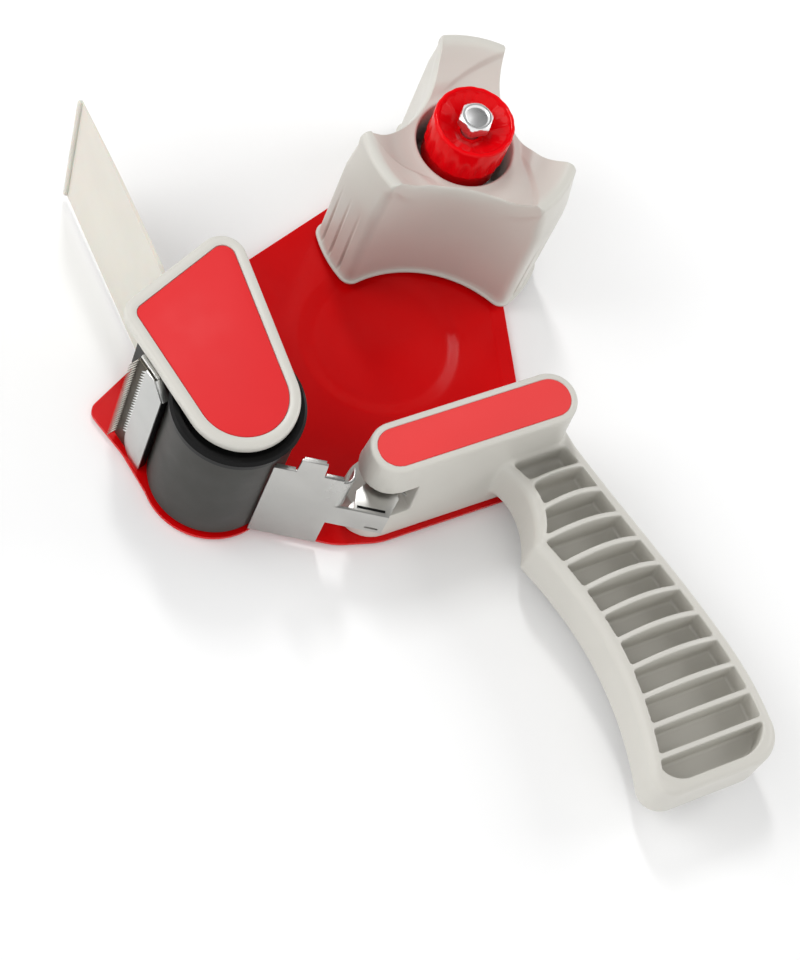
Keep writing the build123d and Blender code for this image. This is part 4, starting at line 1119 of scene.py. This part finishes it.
def build_guide():
    """CAD guide plate with its edges broken, and a black strip of painted shade along the bend of its
    upper ear.
    """
    mesh = bevelled_copy("guide_plate", 0.16)
    new_piece("guide_shell", mesh, "guide", PLATED, ("guide_plate",), 30.0)
    along = Vector((cos(GUIDE_ANGLE), sin(GUIDE_ANGLE)))
    inward = Vector((-along.y, along.x))
    rings = []
    for z in (EAR_TOP - EAR_SHADE_HALF, EAR_TOP + EAR_SHADE_HALF):
        rings.append([(*(GUIDE_START + along * s + inward * n), z) for s, n in EAR_SHADE_OUTLINE])
    mesh = mesh_from("ear_shade_strip", *skin(rings))
    new_piece("ear_shade_strip", mesh, "guide", BLACK_PLASTIC_AND_SHADE)


def build_brake_spring():
    """Copy of the brake spring in place of the CAD node, which is hidden."""
    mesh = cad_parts["brake_spring"].data.copy()
    piece = link("spring_coil", mesh)
    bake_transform(piece)
    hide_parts("brake_spring")


build_guide()
build_brake_spring()

# ------------------------------------------------------------------ camera, light and floor

# in metres, apart from the lens and the sensor
CAMERA_PLACE = Vector((-0.37915, -0.35706, 0.79098))
CAMERA_TARGET = Vector((-0.05887, -0.09127, 0.02968))
CAMERA_ROLL = radians(28.5)
LENS = 107.0
SENSOR = 36.0
KEY_FROM = Vector((0.84, -0.10, 0.54)).normalized()
GLINT_FROM = Vector((0.10, 0.54, 0.83)).normalized()
GAP_DIRECTION = Vector((0.377, 0.349, 0.858))
GAP_WIDE = radians(62)
GAP_NARROW = radians(24)
TENT_BRIGHT = 1.12
TENT_DIM = 0.20
FLOOR_HALF = 4.0
FLOOR_HEIGHT = -0.0002


def build_camera():
    """Rolled camera; returns its right and up directions."""
    forward = (CAMERA_TARGET - CAMERA_PLACE).normalized()
    level = forward.cross(Vector((0, 0, 1))).normalized()
    upright = level.cross(forward)
    right = level * cos(CAMERA_ROLL) + upright * sin(CAMERA_ROLL)
    up = upright * cos(CAMERA_ROLL) - level * sin(CAMERA_ROLL)
    camera = bpy.data.objects.new("camera", bpy.data.cameras.new("camera"))
    camera.data.lens = LENS
    camera.data.sensor_width = SENSOR
    camera.data.clip_start = 0.01
    camera.matrix_world = Matrix.Translation(CAMERA_PLACE) @ Matrix((
        (right.x, up.x, -forward.x, 0),
        (right.y, up.y, -forward.y, 0),
        (right.z, up.z, -forward.z, 0),
        (0, 0, 0, 1),
    ))
    bpy.context.scene.collection.objects.link(camera)
    bpy.context.scene.camera = camera
    return right, up


def area_light(name, place, size, power):
    """Rectangular light that faces the camera's target."""
    light = bpy.data.lights.new(name, "AREA")
    light.shape = "RECTANGLE"
    light.size, light.size_y = size
    light.energy = power
    lamp = bpy.data.objects.new(name, light)
    lamp.location = place
    lamp.rotation_euler = (CAMERA_TARGET - place).to_track_quat("-Z", "Y").to_euler()
    bpy.context.scene.collection.objects.link(lamp)


def build_world():
    """Light tent: bright all round, with a dim gap where level faces mirror it to the camera."""
    world = bpy.data.worlds.new("studio")
    world.use_nodes = True
    tree = world.node_tree
    place = tree.nodes.new("ShaderNodeTexCoord")
    across = tree.nodes.new("ShaderNodeVectorMath")
    across.operation = "DOT_PRODUCT"
    across.inputs[1].default_value = GAP_DIRECTION
    spread = tree.nodes.new("ShaderNodeMapRange")
    spread.interpolation_type = "SMOOTHSTEP"
    spread.inputs["From Min"].default_value = cos(GAP_WIDE)
    spread.inputs["From Max"].default_value = cos(GAP_NARROW)
    spread.inputs["To Min"].default_value = TENT_BRIGHT
    spread.inputs["To Max"].default_value = TENT_DIM
    tree.links.new(place.outputs["Generated"], across.inputs[0])
    tree.links.new(across.outputs["Value"], spread.inputs["Value"])
    tree.links.new(spread.outputs["Result"], tree.nodes["Background"].inputs["Strength"])
    tree.nodes["Background"].inputs["Color"].default_value = (1, 1, 1, 1)
    bpy.context.scene.world = world


def build_floor():
    """Plain pale floor just under the part."""
    mesh = bpy.data.meshes.new("floor")
    corners = [(-1, -1), (1, -1), (1, 1), (-1, 1)]
    points = [(x * FLOOR_HALF, y * FLOOR_HALF, FLOOR_HEIGHT) for x, y in corners]
    mesh.from_pydata(points, [], [(0, 1, 2, 3)])
    floor = link("floor", mesh)
    floor_material, _, shader = base_material("floor", (0.94, 0.94, 0.94), 0.9)
    shader.inputs["Specular IOR Level"].default_value = 0.1
    mesh.materials.append(floor_material)


def build_lights(right, up):
    """Key low on the right, fill on the left, and a small strip that glints in the dish."""
    above = Vector((0, 0, 1))
    area_light("key", CAMERA_TARGET + KEY_FROM * 1.2, (0.6, 0.4), 3.2)
    area_light("fill", CAMERA_TARGET - right * 0.85 + above * 0.75 + up * 0.15, (0.6, 0.6), 3.0)
    area_light("glint", CAMERA_TARGET + GLINT_FROM * 1.1, (0.10, 0.26), 2.6)


def build_stage():
    """Camera, floor, lights and world."""
    right, up = build_camera()
    build_floor()
    build_lights(right, up)
    build_world()
    bpy.context.scene.view_settings.view_transform = "Standard"


build_stage()
